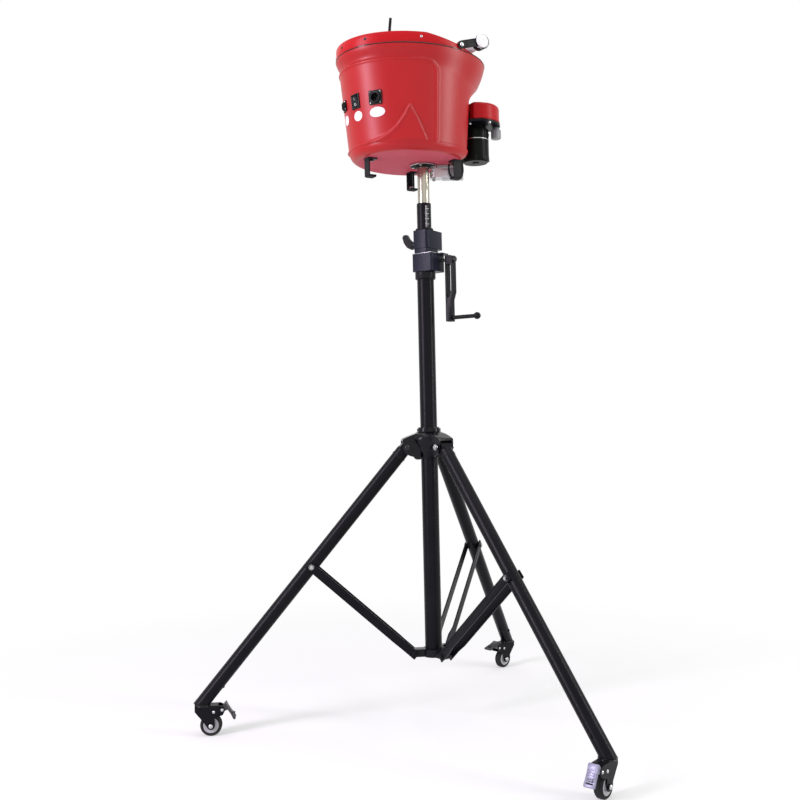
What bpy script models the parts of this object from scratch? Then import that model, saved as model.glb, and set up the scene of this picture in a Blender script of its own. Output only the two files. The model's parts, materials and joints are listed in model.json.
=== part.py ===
"""Badminton serving machine: a hopper head with two launch wheels on a wind-up tripod with casters.

Metres, +Z up. The floor is z = 0 and the origin is the middle of the box on the floor. The mast stands at
MAST_X and MAST_Y, leg 1 points along -X, and the head launches along HEAD_ANGLE.
"""
import math

import bmesh
import bpy
from mathutils import Matrix, Vector

# Gaps between pieces
SEAT_GAP = 0.0003
RUN_GAP = 0.0005

# Casters
WHEEL_D = 0.050
TYRE_W = 0.019
RIM_D = 0.036
AXLE_D = 0.006
TRAIL = 0.019
FORK_WALL = 0.003
STEM_D = 0.011
STEM_FLANGE_D = 0.034
STEM_FLANGE_H = 0.004
LEG_END_Z = 0.076
PEDAL_L = 0.044
PEDAL_T = 0.004
CASTER_HEADINGS = (0.0, 225.0, 217.0)
PEDAL_LIFT = (0.0, 0.0, 40.0)

# Legs and their spread
LEG_OD = 0.032
LEG_WALL = 0.0018
LEG_COUNT = 3
LEG_LENGTH = 0.758
LEG_SPREAD = math.radians(40.0)
LEG_EYE_R = 0.013
LEG_PLUG_DEPTH = 0.040

# Hub that slides on the mast
HUB_PIVOT_R = 0.0557
HUB_SLEEVE_WALL = 0.005
HUB_BELOW_PIVOT = 0.026
HUB_ABOVE_PIVOT = 0.046
HUB_CHEEK = 0.0045
HUB_ARM_REACH = 0.010
HUB_KNOB_Z = -0.020
HUB_KNOB_R = 0.013
PIVOT_D = 0.007
BOLT_HEAD_D = 0.012
BOLT_HEAD_H = 0.004

# Mast, its foot and the struts. The mast stands off the middle of the box
MAST_X = 0.1352
MAST_Y = 0.0200
MAST_OD = 0.040
MAST_TOP = 1.072
MAST_SOCKET = 0.012
FOOT_PIVOT_R = 0.049
FOOT_PIVOT_Z = 0.170
FOOT_H = 0.018
FOOT_FLOOR = 0.004
FOOT_LUG_W = 0.022
FOOT_LUG_TIP = 0.009
STRUT_ON_LEG = 0.357
STRUT_BAR_W = 0.020
STRUT_BAR_T = 0.0035
STRUT_JOGGLE_START = 0.030
STRUT_JOGGLE_END = 0.052

# Lift: telescoping tube, rack and crank
LIFT_OD = 0.034
LIFT_BOTTOM = 0.480
LIFT_TOP = 1.235
POST_D = 0.028
POST_IN_TUBE = 0.050
RACK_PITCH = 0.0063
RACK_W = 0.008
TOOTH_H = 0.0030
PINION_TEETH = 9
LIFT_TRAVEL = 0.42
WINCH_ANGLE = math.radians(-40.0)
WINCH_SIDE = 0.0225
WINCH_OUT = 0.0325
WINCH_BACK = 0.036
WINCH_H = 0.043
WINCH_LIP = 0.012
WINCH_LIP_T = 0.003
CRANK_Z = 0.027
CRANK_SHAFT_D = 0.008
ARM_LENGTH = 0.138
ARM_WIDTH = 0.018
ARM_DEPTH = 0.020
ARM_PLATE = 0.004
ARM_NECK = 0.078
GRIP_PIN_D = 0.004
GRIP_D = 0.0095
GRIP_L = 0.066
GRIP_BALL_D = 0.017
NECK_H = 0.012
LOCK_H = 0.043
LOCK_SIDE = 0.021
LOCK_BACK = 0.049
LOCK_KNOB_Z = 0.012

# Head: shell, ring and deck. Forward is the launch direction
HEAD_ANGLE = math.radians(25.3)
SHELL_BOTTOM = 1.328
SHELL_H = 0.230
SHELL_WALL = 0.003
SHELL_REAR = -0.179
SHELL_REAR_TAPER = 0.027
SHELL_HALF_LENGTH = 0.145
SHELL_LENGTH_TAPER = 0.030
SHELL_HALF_WIDTH = 0.131
SHELL_WIDTH_TAPER = 0.0115
SHELL_EDGE_R = 0.018
FRONT_FLAT = 0.070
FRONT_TOP = 0.170
FRONT_BLEND = 0.006
FLARE_START = 0.55
FLARE_RISE = 0.40
SHELL_SIDES = 42
SHELL_LEVELS = (0.28, 0.46, 0.56, 0.64, 0.72, 0.80, 0.90, 1.0)
LIP_REAR = 0.006
LIP_OUT = 0.012
LIP_DOWN = 0.009
RING_H = 0.025
RING_T = 0.003
RING_SLOPE_START = -0.075
RING_SLOPE_END = 0.060
RING_LOW_H = 0.002
DECK_DROP = 0.044
DECK_T = 0.004
DECK_INSET = 0.008
DECK_POSTS = ((-0.132, 0.060), (-0.132, -0.060), (0.028, 0.086), (0.028, -0.086))
CAROUSEL_X = -0.045
CAROUSEL_R = 0.100
CAROUSEL_T = 0.016
POCKET_D = 0.062
POCKET_R = 0.064
POCKET_COUNT = 6
FEED_MOTOR_D = 0.037
FEED_MOTOR_L = 0.062
FEED_SHAFT_D = 0.008
FEED_GEARBOX_L = 0.024
BOARD_X = -0.140
BOARD_LOW = 1.345
BOARD_PIECES = (
    (0.001, 0.011, -0.030, -0.010, 0.010, 0.032),
    (0.001, 0.006, 0.004, 0.030, 0.016, 0.040),
    (0.001, 0.009, -0.036, -0.020, 0.042, 0.056),
    (0.001, 0.012, 0.018, 0.040, 0.046, 0.056),
)

# Launcher
LAUNCH_X = 0.116
LAUNCH_HALF_PITCH = 0.054
LAUNCH_WHEEL_D = 0.084
LAUNCH_WHEEL_T = 0.020
LAUNCH_WHEEL_Z = 1.436
LAUNCH_PLATE_Z = 1.417
LAUNCH_PLATE_T = 0.006
PLATE_HALF_W = 0.114
COVER_R = 0.058
COVER_H = 0.041
COVER_T = 0.0025
COVER_SIDES = 24
COVER_BACK = 0.0805
COVER_INNER = 0.014
MOUTH_H = 0.0265
KNOB_SPOT = (0.160, -0.078)
KNOB_D = 0.024
KNOB_L = 0.027
KNOB_PIN_D = 0.006
MOTOR_D = 0.064
MOTOR_L = 0.084
MOTOR_SHAFT_D = 0.008
CHUTE_W = 0.076
CHUTE_START = -0.0175
CHUTE_END = 0.073
CHUTE_END_Z = 1.4235
CHUTE_T = 0.0025
CHUTE_SLOPE = math.radians(32.0)

# Openings in the shell. A panel hole is (angle in degrees, z, width, height)
WINDOW_W = 0.082
WINDOW_LOW = 1.418
WINDOW_HIGH = 1.486
SWITCH_SPOT = (-170.0, 1.4455)
SWITCH_BODY_W = 0.021
SWITCH_BODY_H = 0.028
PLUG_SPOT = (-147.6, 1.444)
PLUG_BODY = 0.022
SIDE_SPOT = (168.0, 1.449)
SIDE_BODY = 0.017
SWITCH_DEPTH = 0.013
ROCKER_PIVOT = -0.0010
ROCKER_TILT = math.radians(9.0)
PLUG_FACE = 0.031
SIDE_FACE = 0.024
PANEL_HOLES = (
    (*SWITCH_SPOT, SWITCH_BODY_W + 0.001, SWITCH_BODY_H + 0.001),
    (*PLUG_SPOT, PLUG_BODY + 0.001, PLUG_BODY + 0.001),
    (*SIDE_SPOT, SIDE_BODY + 0.001, SIDE_BODY + 0.001),
)

# Small head pieces
HANDLE_X = 0.015
HANDLE_Y = 0.1500
EAR_T = 0.006
HANDLE_LIFT = 0.010
RIVET_D = 0.005
HANDLE_REACH = 0.055
HANDLE_RISE = 0.017
HANDLE_ARM_T = 0.003
HANDLE_ARM_W = 0.018
HANDLE_GRIP_D = 0.026
HANDLE_ROD_D = 0.008
COLLAR_W = 0.010
TUB_FOOT_H = 0.042
TUB_FOOT_W = 0.022
TUB_FOOT_T = 0.003
TUB_FEET = ((-0.152, 0.0, 0.0), (0.016, 0.084, -90.0), (0.046, -0.078, 90.0))
SOCKET_FLANGE_R = 0.030
SOCKET_R = 0.0185
SOCKET_L = 0.0075
SOCKET_ROOF = 0.001
YAW_MOTOR_SPOT = (0.050, -0.014)
YAW_MOTOR_HEADING = -32.0
YAW_CASE_H = 0.018
ANTENNA_D = 0.008
ANTENNA_L = 0.103
ANTENNA_BOW = 0.016
ANTENNA_PIVOT = 0.012
ANTENNA_SPOT = (-0.1252, -0.0744)

# Sizes worked out from the ones above
HUB_PIVOT_Z = LEG_END_Z + LEG_LENGTH * math.cos(LEG_SPREAD)
MAST_R = MAST_OD / 2
LIFT_R = LIFT_OD / 2
LIFT_BORE_R = LIFT_R + RUN_GAP
STRUT_TOP_R = HUB_PIVOT_R + STRUT_ON_LEG * math.sin(LEG_SPREAD)
STRUT_TOP_Z = HUB_PIVOT_Z - STRUT_ON_LEG * math.cos(LEG_SPREAD)
STRUT_L = math.hypot(STRUT_TOP_R - FOOT_PIVOT_R, STRUT_TOP_Z - FOOT_PIVOT_Z)
STRUT_ANGLE = math.atan2(STRUT_TOP_R - FOOT_PIVOT_R, STRUT_TOP_Z - FOOT_PIVOT_Z)
PINION_R = RACK_PITCH * PINION_TEETH / 2 / math.pi
RACK_TIP = LIFT_R - RUN_GAP
PINION_V = RACK_TIP - TOOTH_H / 2 + PINION_R
WINCH_TOP = MAST_TOP + WINCH_H
LOCK_BOTTOM = WINCH_TOP + NECK_H
POST_TOP = SHELL_BOTTOM - SOCKET_ROOF - 2 * SEAT_GAP
RIM_Z = SHELL_BOTTOM + SHELL_H
DECK_Z = RIM_Z - DECK_DROP

# Colours: base colour, roughness, metallic
FINISHES = {
    "black_paint": ((0.012, 0.012, 0.015), 0.35, 0.0),
    "black_plastic": ((0.015, 0.015, 0.017), 0.5, 0.0),
    "gloss_black": ((0.008, 0.008, 0.012), 0.15, 0.0),
    "grey_plastic": ((0.30, 0.30, 0.31), 0.5, 0.0),
    "rim_grey": ((0.42, 0.42, 0.44), 0.45, 0.0),
    "rubber": ((0.02, 0.02, 0.02), 0.8, 0.0),
    "chrome": ((0.75, 0.74, 0.72), 0.12, 1.0),
    "steel": ((0.55, 0.55, 0.56), 0.3, 1.0),
    "aluminium": ((0.65, 0.65, 0.66), 0.35, 1.0),
    "red_shell": ((0.60, 0.020, 0.025), 0.35, 0.0),
    "white_plastic": ((0.85, 0.85, 0.85), 0.35, 0.0),
    "board_green": ((0.02, 0.16, 0.06), 0.5, 0.0),
}

for old in list(bpy.data.objects):
    bpy.data.objects.remove(old)

PARTS = bpy.data.collections.new("badminton_serving_machine")
CUTTERS = bpy.data.collections.new("cutters")
bpy.context.scene.collection.children.link(PARTS)
bpy.context.scene.collection.children.link(CUTTERS)


# Materials

def finish(name):
    """The material of that name, made on first use."""
    material = bpy.data.materials.get(name)
    if material:
        return material
    material = bpy.data.materials.new(name)
    material.use_nodes = True
    colour, roughness, metallic = FINISHES[name]
    shader = material.node_tree.nodes["Principled BSDF"]
    shader.inputs["Base Color"].default_value = (*colour, 1.0)
    shader.inputs["Roughness"].default_value = roughness
    shader.inputs["Metallic"].default_value = metallic
    return material


# Shapes: each function returns a mesh around its own origin

def at(x=0.0, y=0.0, z=0.0):
    return Matrix.Translation((x, y, z))


def turn(angle, axis):
    return Matrix.Rotation(angle, 4, axis)


def smoothed(mesh):
    mesh.shade_smooth()
    mesh.set_sharp_from_angle(angle=math.radians(32.0))
    return mesh


def mesh_from(bm, name):
    bmesh.ops.recalc_face_normals(bm, faces=bm.faces)
    mesh = bpy.data.meshes.new(name)
    bm.to_mesh(mesh)
    bm.free()
    return smoothed(mesh)


def block(low, high):
    """A box between two corners."""
    bm = bmesh.new()
    bmesh.ops.create_cube(bm, size=1.0)
    size = [h - l for l, h in zip(low, high)]
    middle = [(h + l) / 2 for l, h in zip(low, high)]
    bmesh.ops.scale(bm, vec=size, verts=bm.verts)
    bmesh.ops.translate(bm, vec=middle, verts=bm.verts)
    return mesh_from(bm, "block")


def rod(radius, bottom, top, segments=24, top_radius=None):
    """A cylinder or cone along Z."""
    bm = bmesh.new()
    bmesh.ops.create_cone(
        bm,
        cap_ends=True,
        segments=segments,
        radius1=radius,
        radius2=radius if top_radius is None else top_radius,
        depth=top - bottom,
    )
    bmesh.ops.translate(bm, vec=(0.0, 0.0, (top + bottom) / 2), verts=bm.verts)
    return mesh_from(bm, "rod")


def evaluated(obj, name):
    """The mesh that an object with modifiers or a bevelled curve makes. The object is removed."""
    PARTS.objects.link(obj)
    graph = bpy.context.evaluated_depsgraph_get()
    mesh = bpy.data.meshes.new_from_object(obj.evaluated_get(graph))
    bpy.data.objects.remove(obj)
    bm = bmesh.new()
    bm.from_mesh(mesh)
    bpy.data.meshes.remove(mesh)
    bmesh.ops.remove_doubles(bm, verts=bm.verts, dist=0.00001)
    return mesh_from(bm, name)


def turned(profile, segments=32, closed=False):
    """A (radius, z) profile turned about Z. An open profile starts and ends on the axis."""
    mesh = bpy.data.meshes.new("profile")
    points = [(radius, 0.0, z) for radius, z in profile]
    edges = [(i, i + 1) for i in range(len(points) - 1)]
    if closed:
        edges.append((len(points) - 1, 0))
    mesh.from_pydata(points, edges, [])
    obj = bpy.data.objects.new("profile", mesh)
    screw = obj.modifiers.new("turn", "SCREW")
    screw.steps = segments
    screw.render_steps = segments
    screw.use_merge_vertices = True
    screw.merge_threshold = 0.00001
    return evaluated(obj, "turned")


def pipe(outer, inner, bottom, top, segments=32):
    """A round tube along Z with flat ends."""
    return turned([(outer, top), (outer, bottom), (inner, bottom), (inner, top)], segments, closed=True)


def slab(points, thickness, hole=None):
    """A flat outline in XY, centred on z = 0, with an optional hole."""
    curve = bpy.data.curves.new("outline", "CURVE")
    curve.dimensions = "2D"
    curve.fill_mode = "BOTH"
    curve.extrude = thickness / 2
    for loop in [points] + ([hole] if hole else []):
        spline = curve.splines.new("POLY")
        spline.points.add(len(loop) - 1)
        for point, (x, y) in zip(spline.points, loop):
            point.co = (x, y, 0.0, 1.0)
        spline.use_cyclic_u = True
    return evaluated(bpy.data.objects.new("outline", curve), "slab")


def toothed_bar(front, back, width):
    """A bar along Z whose front follows a chain of (x, z) points and whose back is flat."""
    bm = bmesh.new()
    pairs = [(bm.verts.new((x, -width / 2, z)), bm.verts.new((back, -width / 2, z))) for x, z in front]
    faces = [bm.faces.new((a, b, d, c)) for (a, b), (c, d) in zip(pairs, pairs[1:])]
    grown = bmesh.ops.extrude_face_region(bm, geom=faces)["geom"]
    moved = [item for item in grown if isinstance(item, bmesh.types.BMVert)]
    bmesh.ops.translate(bm, vec=(0.0, width, 0.0), verts=moved)
    return mesh_from(bm, "toothed_bar")


def wire(points, radius, sides=2, taper=None):
    """A round rod that follows points."""
    curve = bpy.data.curves.new("wire", "CURVE")
    curve.dimensions = "3D"
    curve.bevel_depth = radius
    curve.bevel_resolution = sides
    curve.use_fill_caps = True
    spline = curve.splines.new("POLY")
    spline.points.add(len(points) - 1)
    for index, (point, place) in enumerate(zip(spline.points, points)):
        point.co = (*place, 1.0)
        point.radius = taper[index] if taper else 1.0
    return evaluated(bpy.data.objects.new("wire", curve), "wire")


def arc(centre, radius, start, end, steps):
    """Points of an arc, angles in degrees."""
    points = []
    for index in range(steps + 1):
        angle = math.radians(start + (end - start) * index / steps)
        points.append((centre[0] + radius * math.cos(angle), centre[1] + radius * math.sin(angle)))
    return points


# Objects

def anchor(name, parent=None, place=Matrix()):
    """An empty that carries pieces."""
    obj = bpy.data.objects.new(name, None)
    CUTTERS.objects.link(obj)
    obj.parent = parent
    obj.matrix_basis = place
    obj.hide_render = True
    return obj


def part(name, mesh, colour, parent, place=Matrix(), joined=(), cuts=(), last=()):
    """One piece. joined, cuts and last are (mesh, place) pairs in the piece's frame; last is joined last."""
    obj = bpy.data.objects.new(name, mesh)
    PARTS.objects.link(obj)
    mesh.materials.append(finish(colour))
    obj.parent = parent
    obj.matrix_basis = place
    steps = [("UNION", tool) for tool in joined] + [("DIFFERENCE", tool) for tool in cuts]
    steps += [("UNION", tool) for tool in last]
    for index, (operation, (shape, where)) in enumerate(steps):
        tool = bpy.data.objects.new(f"{name}.tool{index + 1}", shape)
        CUTTERS.objects.link(tool)
        tool.parent = obj
        tool.matrix_basis = where
        tool.hide_render = True
        tool.display_type = "WIRE"
        boolean = obj.modifiers.new(operation.lower() + str(index + 1), "BOOLEAN")
        boolean.operation = operation
        boolean.solver = "EXACT"
        boolean.object = tool
    return obj


MAST = anchor("mast_axis", None, at(MAST_X, MAST_Y, 0.0))


# Stand: mast, foot, hub, legs, struts and casters

UPRIGHT = turn(math.radians(90.0), "X")
ALONG_Y = turn(math.radians(-90.0), "X")
ALONG_X = turn(math.radians(90.0), "Y")


def leg_angle(index):
    """World angle of a leg: the first points along -X."""
    return math.radians(180.0 + 360.0 / LEG_COUNT * index)


def cross_pin(diameter, half_length):
    """A pin along Y through the local origin, with a round head at each end."""
    radius = diameter / 2
    head = BOLT_HEAD_D / 2
    edge = half_length + BOLT_HEAD_H
    profile = [
        (0.0, edge),
        (head * 0.7, edge),
        (head, half_length + BOLT_HEAD_H * 0.5),
        (head, half_length),
        (radius, half_length),
        (radius, -half_length),
        (head, -half_length),
        (head, -half_length - BOLT_HEAD_H * 0.5),
        (head * 0.7, -edge),
        (0.0, -edge),
    ]
    return turned(profile, 10), ALONG_Y


def level_cut(mesh, bottom):
    """Slides the lowest ring of a leg tube to the level plane where the leg ends."""
    for vertex in mesh.vertices:
        if vertex.co.z < bottom + 0.001:
            vertex.co.z = bottom - vertex.co.x * math.tan(LEG_SPREAD)
    return mesh


def mast_and_foot():
    foot_bottom = FOOT_PIVOT_Z - FOOT_H / 2
    mast_bottom = foot_bottom + FOOT_FLOOR + SEAT_GAP
    tube = pipe(MAST_R, LIFT_BORE_R, mast_bottom, MAST_TOP + MAST_SOCKET)
    part("mast_tube", tube, "black_paint", MAST)

    ring_r = MAST_R + 0.006
    ring = rod(ring_r, foot_bottom, foot_bottom + FOOT_H, 24)
    tip = arc((FOOT_PIVOT_R, 0.0), FOOT_LUG_TIP, -90.0, 90.0, 6)
    lug = slab([(MAST_R, FOOT_H / 2), (MAST_R, -FOOT_H / 2)] + tip, FOOT_LUG_W)
    bore = rod(PIVOT_D / 2 + SEAT_GAP, -FOOT_LUG_W, FOOT_LUG_W, 10)
    lugs = []
    holes = [(rod(MAST_R + SEAT_GAP, mast_bottom - SEAT_GAP, foot_bottom + 2 * FOOT_H, 28), at())]
    for index in range(LEG_COUNT):
        swing = turn(leg_angle(index), "Z")
        lugs.append((lug, swing @ at(0.0, 0.0, FOOT_PIVOT_Z) @ UPRIGHT))
        holes.append((bore, swing @ at(FOOT_PIVOT_R, 0.0, FOOT_PIVOT_Z) @ ALONG_Y))
    part("mast_foot", ring, "black_plastic", MAST, joined=lugs, cuts=holes)


def hub():
    """The collar that slides on the mast, with three cheeked arms that hold the leg tops."""
    carrier = anchor("hub_pivots", MAST, at(0.0, 0.0, HUB_PIVOT_Z))
    bore_r = MAST_R + RUN_GAP
    sleeve_r = bore_r + HUB_SLEEVE_WALL
    slot_w = LEG_OD + 2 * RUN_GAP
    arm_w = slot_w + 2 * HUB_CHEEK
    tip_r = HUB_PIVOT_R + HUB_ARM_REACH
    roof = LEG_EYE_R + 0.002
    root_r = bore_r + HUB_SLEEVE_WALL / 2
    sleeve = rod(sleeve_r, -HUB_BELOW_PIVOT, HUB_ABOVE_PIVOT, 24)
    collar = rod(sleeve_r + 0.003, HUB_ABOVE_PIVOT - 0.010, HUB_ABOVE_PIVOT - 0.003, 24)
    dome_profile = [
        (root_r, roof + 0.021),
        (sleeve_r + 0.004, roof + 0.020),
        (sleeve_r + 0.014, roof + 0.014),
        (sleeve_r + 0.019, roof + 0.004),
        (sleeve_r + 0.012, roof - 0.010),
        (root_r, -HUB_BELOW_PIVOT + 0.004),
    ]
    dome = turned(dome_profile, 24, closed=True)
    side = [
        (root_r, roof + 0.018),
        (HUB_PIVOT_R - 0.020, roof + 0.016),
        (HUB_PIVOT_R - 0.006, roof + 0.011),
        (tip_r - 0.002, roof + 0.005),
        (tip_r, roof + 0.001),
        (tip_r, -0.004),
        (tip_r - 0.005, -0.013),
        (HUB_PIVOT_R - 0.006, -0.020),
        (HUB_PIVOT_R - 0.022, -0.025),
        (root_r, -HUB_BELOW_PIVOT + 0.0012),
    ]
    arm = slab(side, arm_w)
    slot = block((HUB_PIVOT_R - roof - 0.006, -slot_w / 2, -0.060), (0.120, slot_w / 2, roof))
    joined = [(collar, at()), (dome, at())]
    cuts = []
    pins = []
    for index in range(LEG_COUNT):
        swing = turn(leg_angle(index), "Z")
        joined.append((arm, swing @ UPRIGHT))
        cuts.append((slot, swing))
        pin, along = cross_pin(PIVOT_D, arm_w / 2)
        pins.append((pin, swing @ at(HUB_PIVOT_R, 0.0, 0.0) @ along))
    boss_turn = turn(leg_angle(0) - math.pi / LEG_COUNT, "Z")
    boss = rod(0.009, bore_r + 0.001, sleeve_r + 0.008, 14)
    joined.append((boss, boss_turn @ at(0.0, 0.0, HUB_KNOB_Z) @ ALONG_X))
    cuts.append((rod(0.0033, 0.0, 0.060, 16), boss_turn @ at(0.0, 0.0, HUB_KNOB_Z) @ ALONG_X))
    cuts.append((rod(bore_r, -0.1, 0.1, 32), at()))
    part("hub", sleeve, "gloss_black", carrier, joined=joined, cuts=cuts, last=pins)

    knob_place = boss_turn @ at(0.0, 0.0, HUB_KNOB_Z) @ ALONG_X
    profile = [
        (0.0, sleeve_r + 0.027),
        (HUB_KNOB_R * 0.7, sleeve_r + 0.027),
        (HUB_KNOB_R, sleeve_r + 0.023),
        (HUB_KNOB_R, sleeve_r + 0.013),
        (0.009, sleeve_r + 0.0085),
        (0.003, sleeve_r + 0.0085),
        (0.003, MAST_R + SEAT_GAP),
        (0.0, MAST_R + SEAT_GAP),
    ]
    groove = rod(0.0035, sleeve_r + 0.010, sleeve_r + 0.030, 8)
    grooves = []
    for index in range(6):
        grooves.append((groove, turn(math.radians(60.0 * index), "Z") @ at(HUB_KNOB_R + 0.0015)))
    part("hub_lock_knob", turned(profile, 24), "black_plastic", carrier, knob_place, cuts=grooves)


def leg(index):
    """One leg tube with its eye, hinged on the hub."""
    number = index + 1
    plane = anchor(f"leg_{number}_plane", MAST, turn(leg_angle(index), "Z"))
    hinge = anchor(f"leg_{number}_hinge", plane, at(HUB_PIVOT_R, 0.0, HUB_PIVOT_Z) @ turn(-LEG_SPREAD, "Y"))
    top = -0.012
    tube = level_cut(pipe(LEG_OD / 2, LEG_OD / 2 - LEG_WALL, -LEG_LENGTH, top, 24), -LEG_LENGTH)
    plug = rod(LEG_OD / 2 - 0.0005, top - 0.018, top + 0.004, 24)
    eye_points = arc((0.0, 0.0), LEG_EYE_R, 0.0, 180.0, 8)
    eye_points += [(-LEG_EYE_R, top + 0.001), (LEG_EYE_R, top + 0.001)]
    eye = slab(eye_points, LEG_OD - 2 * RUN_GAP)
    bore = rod(PIVOT_D / 2 + SEAT_GAP, -LEG_OD, LEG_OD, 12)
    part(
        f"leg_tube_{number}",
        tube,
        "black_paint",
        hinge,
        joined=[(plug, at()), (eye, UPRIGHT)],
        cuts=[(bore, ALONG_Y)],
    )
    return plane, hinge


def strut(index, plane):
    """A pair of flat bars from the mast foot to the leg, held together by the bolt at the foot."""
    number = index + 1
    foot_pivot = at(FOOT_PIVOT_R, 0.0, FOOT_PIVOT_Z)
    hinge = anchor(f"strut_{number}_hinge", plane, foot_pivot @ turn(STRUT_ANGLE, "Y"))
    near = FOOT_LUG_W / 2 + RUN_GAP
    far = LEG_OD / 2 + RUN_GAP
    over = STRUT_BAR_W / 2
    side = [
        (-over, near),
        (STRUT_JOGGLE_START, near),
        (STRUT_JOGGLE_END, far),
        (STRUT_L + over, far),
        (STRUT_L + over, far + STRUT_BAR_T),
        (STRUT_JOGGLE_END, far + STRUT_BAR_T),
        (STRUT_JOGGLE_START, near + STRUT_BAR_T),
        (-over, near + STRUT_BAR_T),
    ]
    flat = turn(math.radians(-90.0), "Y")
    bar = slab(side, STRUT_BAR_W)
    other = slab([(x, -y) for x, y in side], STRUT_BAR_W)
    pin, along = cross_pin(PIVOT_D, near + STRUT_BAR_T - 0.0005)
    joined = [(other, flat), (pin, along)]
    outer = far + STRUT_BAR_T
    for way in (-1.0, 1.0):
        head = rod(BOLT_HEAD_D / 2, outer - 0.0015, outer + BOLT_HEAD_H, 16, BOLT_HEAD_D * 0.38)
        joined.append((head, at(0.0, 0.0, STRUT_L) @ (ALONG_Y if way > 0 else UPRIGHT)))
    added = [(mesh, flat.inverted() @ place) for mesh, place in joined]
    part(f"strut_pair_{number}", bar, "black_paint", hinge, flat, joined=added)


def caster(index, hinge):
    """Stem block in the leg end, fork, wheel, tyre and brake pedal. z = 0 of its frame is the floor."""
    number = index + 1
    upright = at(0.0, 0.0, -LEG_LENGTH) @ turn(LEG_SPREAD, "Y")
    end = anchor(f"leg_{number}_end", hinge, upright @ at(0.0, 0.0, -LEG_END_Z))
    plug_r = LEG_OD / 2 - LEG_WALL - SEAT_GAP
    plug = level_cut(rod(plug_r, 0.0, LEG_PLUG_DEPTH, 24), 0.0)
    cap_top = LEG_END_Z - SEAT_GAP
    cap_bottom = cap_top - STEM_FLANGE_H
    fork_top = cap_bottom - SEAT_GAP
    fork_roof = WHEEL_D + 0.0025
    cap = rod(STEM_FLANGE_D / 2, cap_bottom, cap_top, 24)
    neck = rod(plug_r - 0.004, cap_bottom + 0.001, LEG_END_Z + 0.004, 24)
    stem = rod(STEM_D / 2, fork_roof + 0.003, cap_bottom + 0.001, 20)
    plug_place = at(0.0, 0.0, LEG_END_Z + SEAT_GAP) @ turn(-LEG_SPREAD, "Y")
    part(
        f"caster_stem_{number}",
        cap,
        "black_plastic",
        end,
        joined=[(plug, plug_place), (neck, at()), (stem, at())],
    )

    heading = math.radians(CASTER_HEADINGS[index]) - leg_angle(index)
    swivel = anchor(f"caster_{number}_swivel", end, turn(heading, "Z"))
    axle_z = WHEEL_D / 2
    inner = TYRE_W + 4 * RUN_GAP
    width = inner + 2 * FORK_WALL
    pedal_pivot = (TRAIL + 0.027, fork_top - 0.010)
    cheek = [(-0.017, fork_top), (-0.017, fork_top - 0.013), (TRAIL - 0.017, axle_z + 0.010)]
    cheek += arc((TRAIL, axle_z), 0.009, 190.0, 360.0, 8)
    cheek += [
        (TRAIL + 0.009, axle_z + 0.018),
        (pedal_pivot[0] + 0.001, axle_z + 0.024),
        (pedal_pivot[0] + 0.006, pedal_pivot[1] - 0.003),
        (pedal_pivot[0] + 0.004, pedal_pivot[1] + 0.005),
        (pedal_pivot[0] - 0.006, fork_top),
    ]
    gap = block((-0.04, -inner / 2, -0.01), (0.09, inner / 2, fork_roof))
    pedal_gap = block((pedal_pivot[0] - 0.010, -inner / 2, 0.02), (0.09, inner / 2, 0.09))
    stem_bore = rod(STEM_D / 2 + SEAT_GAP, fork_roof + 0.002, 0.09, 20)
    axle, along = cross_pin(AXLE_D, width / 2 - 0.0005)
    pedal_pin = rod(0.002, -width / 2 + 0.001, width / 2 - 0.001, 12)
    level = UPRIGHT.inverted()
    part(
        f"caster_fork_{number}",
        slab(cheek, width),
        "black_paint",
        swivel,
        UPRIGHT,
        cuts=[(gap, level), (pedal_gap, level), (stem_bore, level)],
        last=[
            (axle, level @ at(TRAIL, 0.0, axle_z) @ along),
            (pedal_pin, level @ at(pedal_pivot[0], 0.0, pedal_pivot[1]) @ ALONG_Y),
        ],
    )

    wheel = anchor(f"caster_{number}_axle", swivel, at(TRAIL, 0.0, axle_z) @ ALONG_Y)
    rim_r = RIM_D / 2
    half = TYRE_W / 2
    tyre_profile = [
        (WHEEL_D / 2 - 0.003, half),
        (WHEEL_D / 2, half - 0.0035),
        (WHEEL_D / 2, -half + 0.0035),
        (WHEEL_D / 2 - 0.003, -half),
        (rim_r + SEAT_GAP, -half),
        (rim_r + SEAT_GAP, half),
    ]
    part(f"caster_tyre_{number}", turned(tyre_profile, 28, closed=True), "rubber", wheel)
    bore_r = AXLE_D / 2 + SEAT_GAP
    hub_profile = [
        (rim_r, half - 0.001),
        (rim_r, -half + 0.001),
        (rim_r - 0.004, -half + 0.001),
        (0.008, -half + 0.004),
        (0.0065, -half + 0.0005),
        (bore_r, -half + 0.0005),
        (bore_r, half - 0.0005),
        (0.0065, half - 0.0005),
        (0.008, half - 0.004),
        (rim_r - 0.004, half - 0.001),
    ]
    part(f"caster_wheel_{number}", turned(hub_profile, 24, closed=True), "rim_grey", wheel)

    hinge_empty = anchor(f"caster_{number}_pedal_hinge", swivel, at(pedal_pivot[0], 0.0, pedal_pivot[1]))
    drop = math.radians(-58.0)
    step = Vector((math.cos(drop), math.sin(drop)))
    normal = Vector((-step.y, step.x))
    start = Vector((0.004, 0.013))
    tip = start + step * PEDAL_L
    barrel = arc((0.0, 0.0), 0.0045, 110.0, 290.0, 8)
    outline = barrel + [
        tuple(start + step * 0.017),
        tuple(tip),
        tuple(tip + normal * PEDAL_T),
        tuple(start + normal * PEDAL_T),
        tuple(start),
    ]
    bore = rod(0.002 + SEAT_GAP, -0.02, 0.02, 12)
    lift = turn(math.radians(-PEDAL_LIFT[index]), "Y")
    part(
        f"brake_pedal_{number}",
        slab(outline, inner - 2 * RUN_GAP),
        "grey_plastic",
        hinge_empty,
        lift @ UPRIGHT,
        cuts=[(bore, at())],
    )


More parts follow.
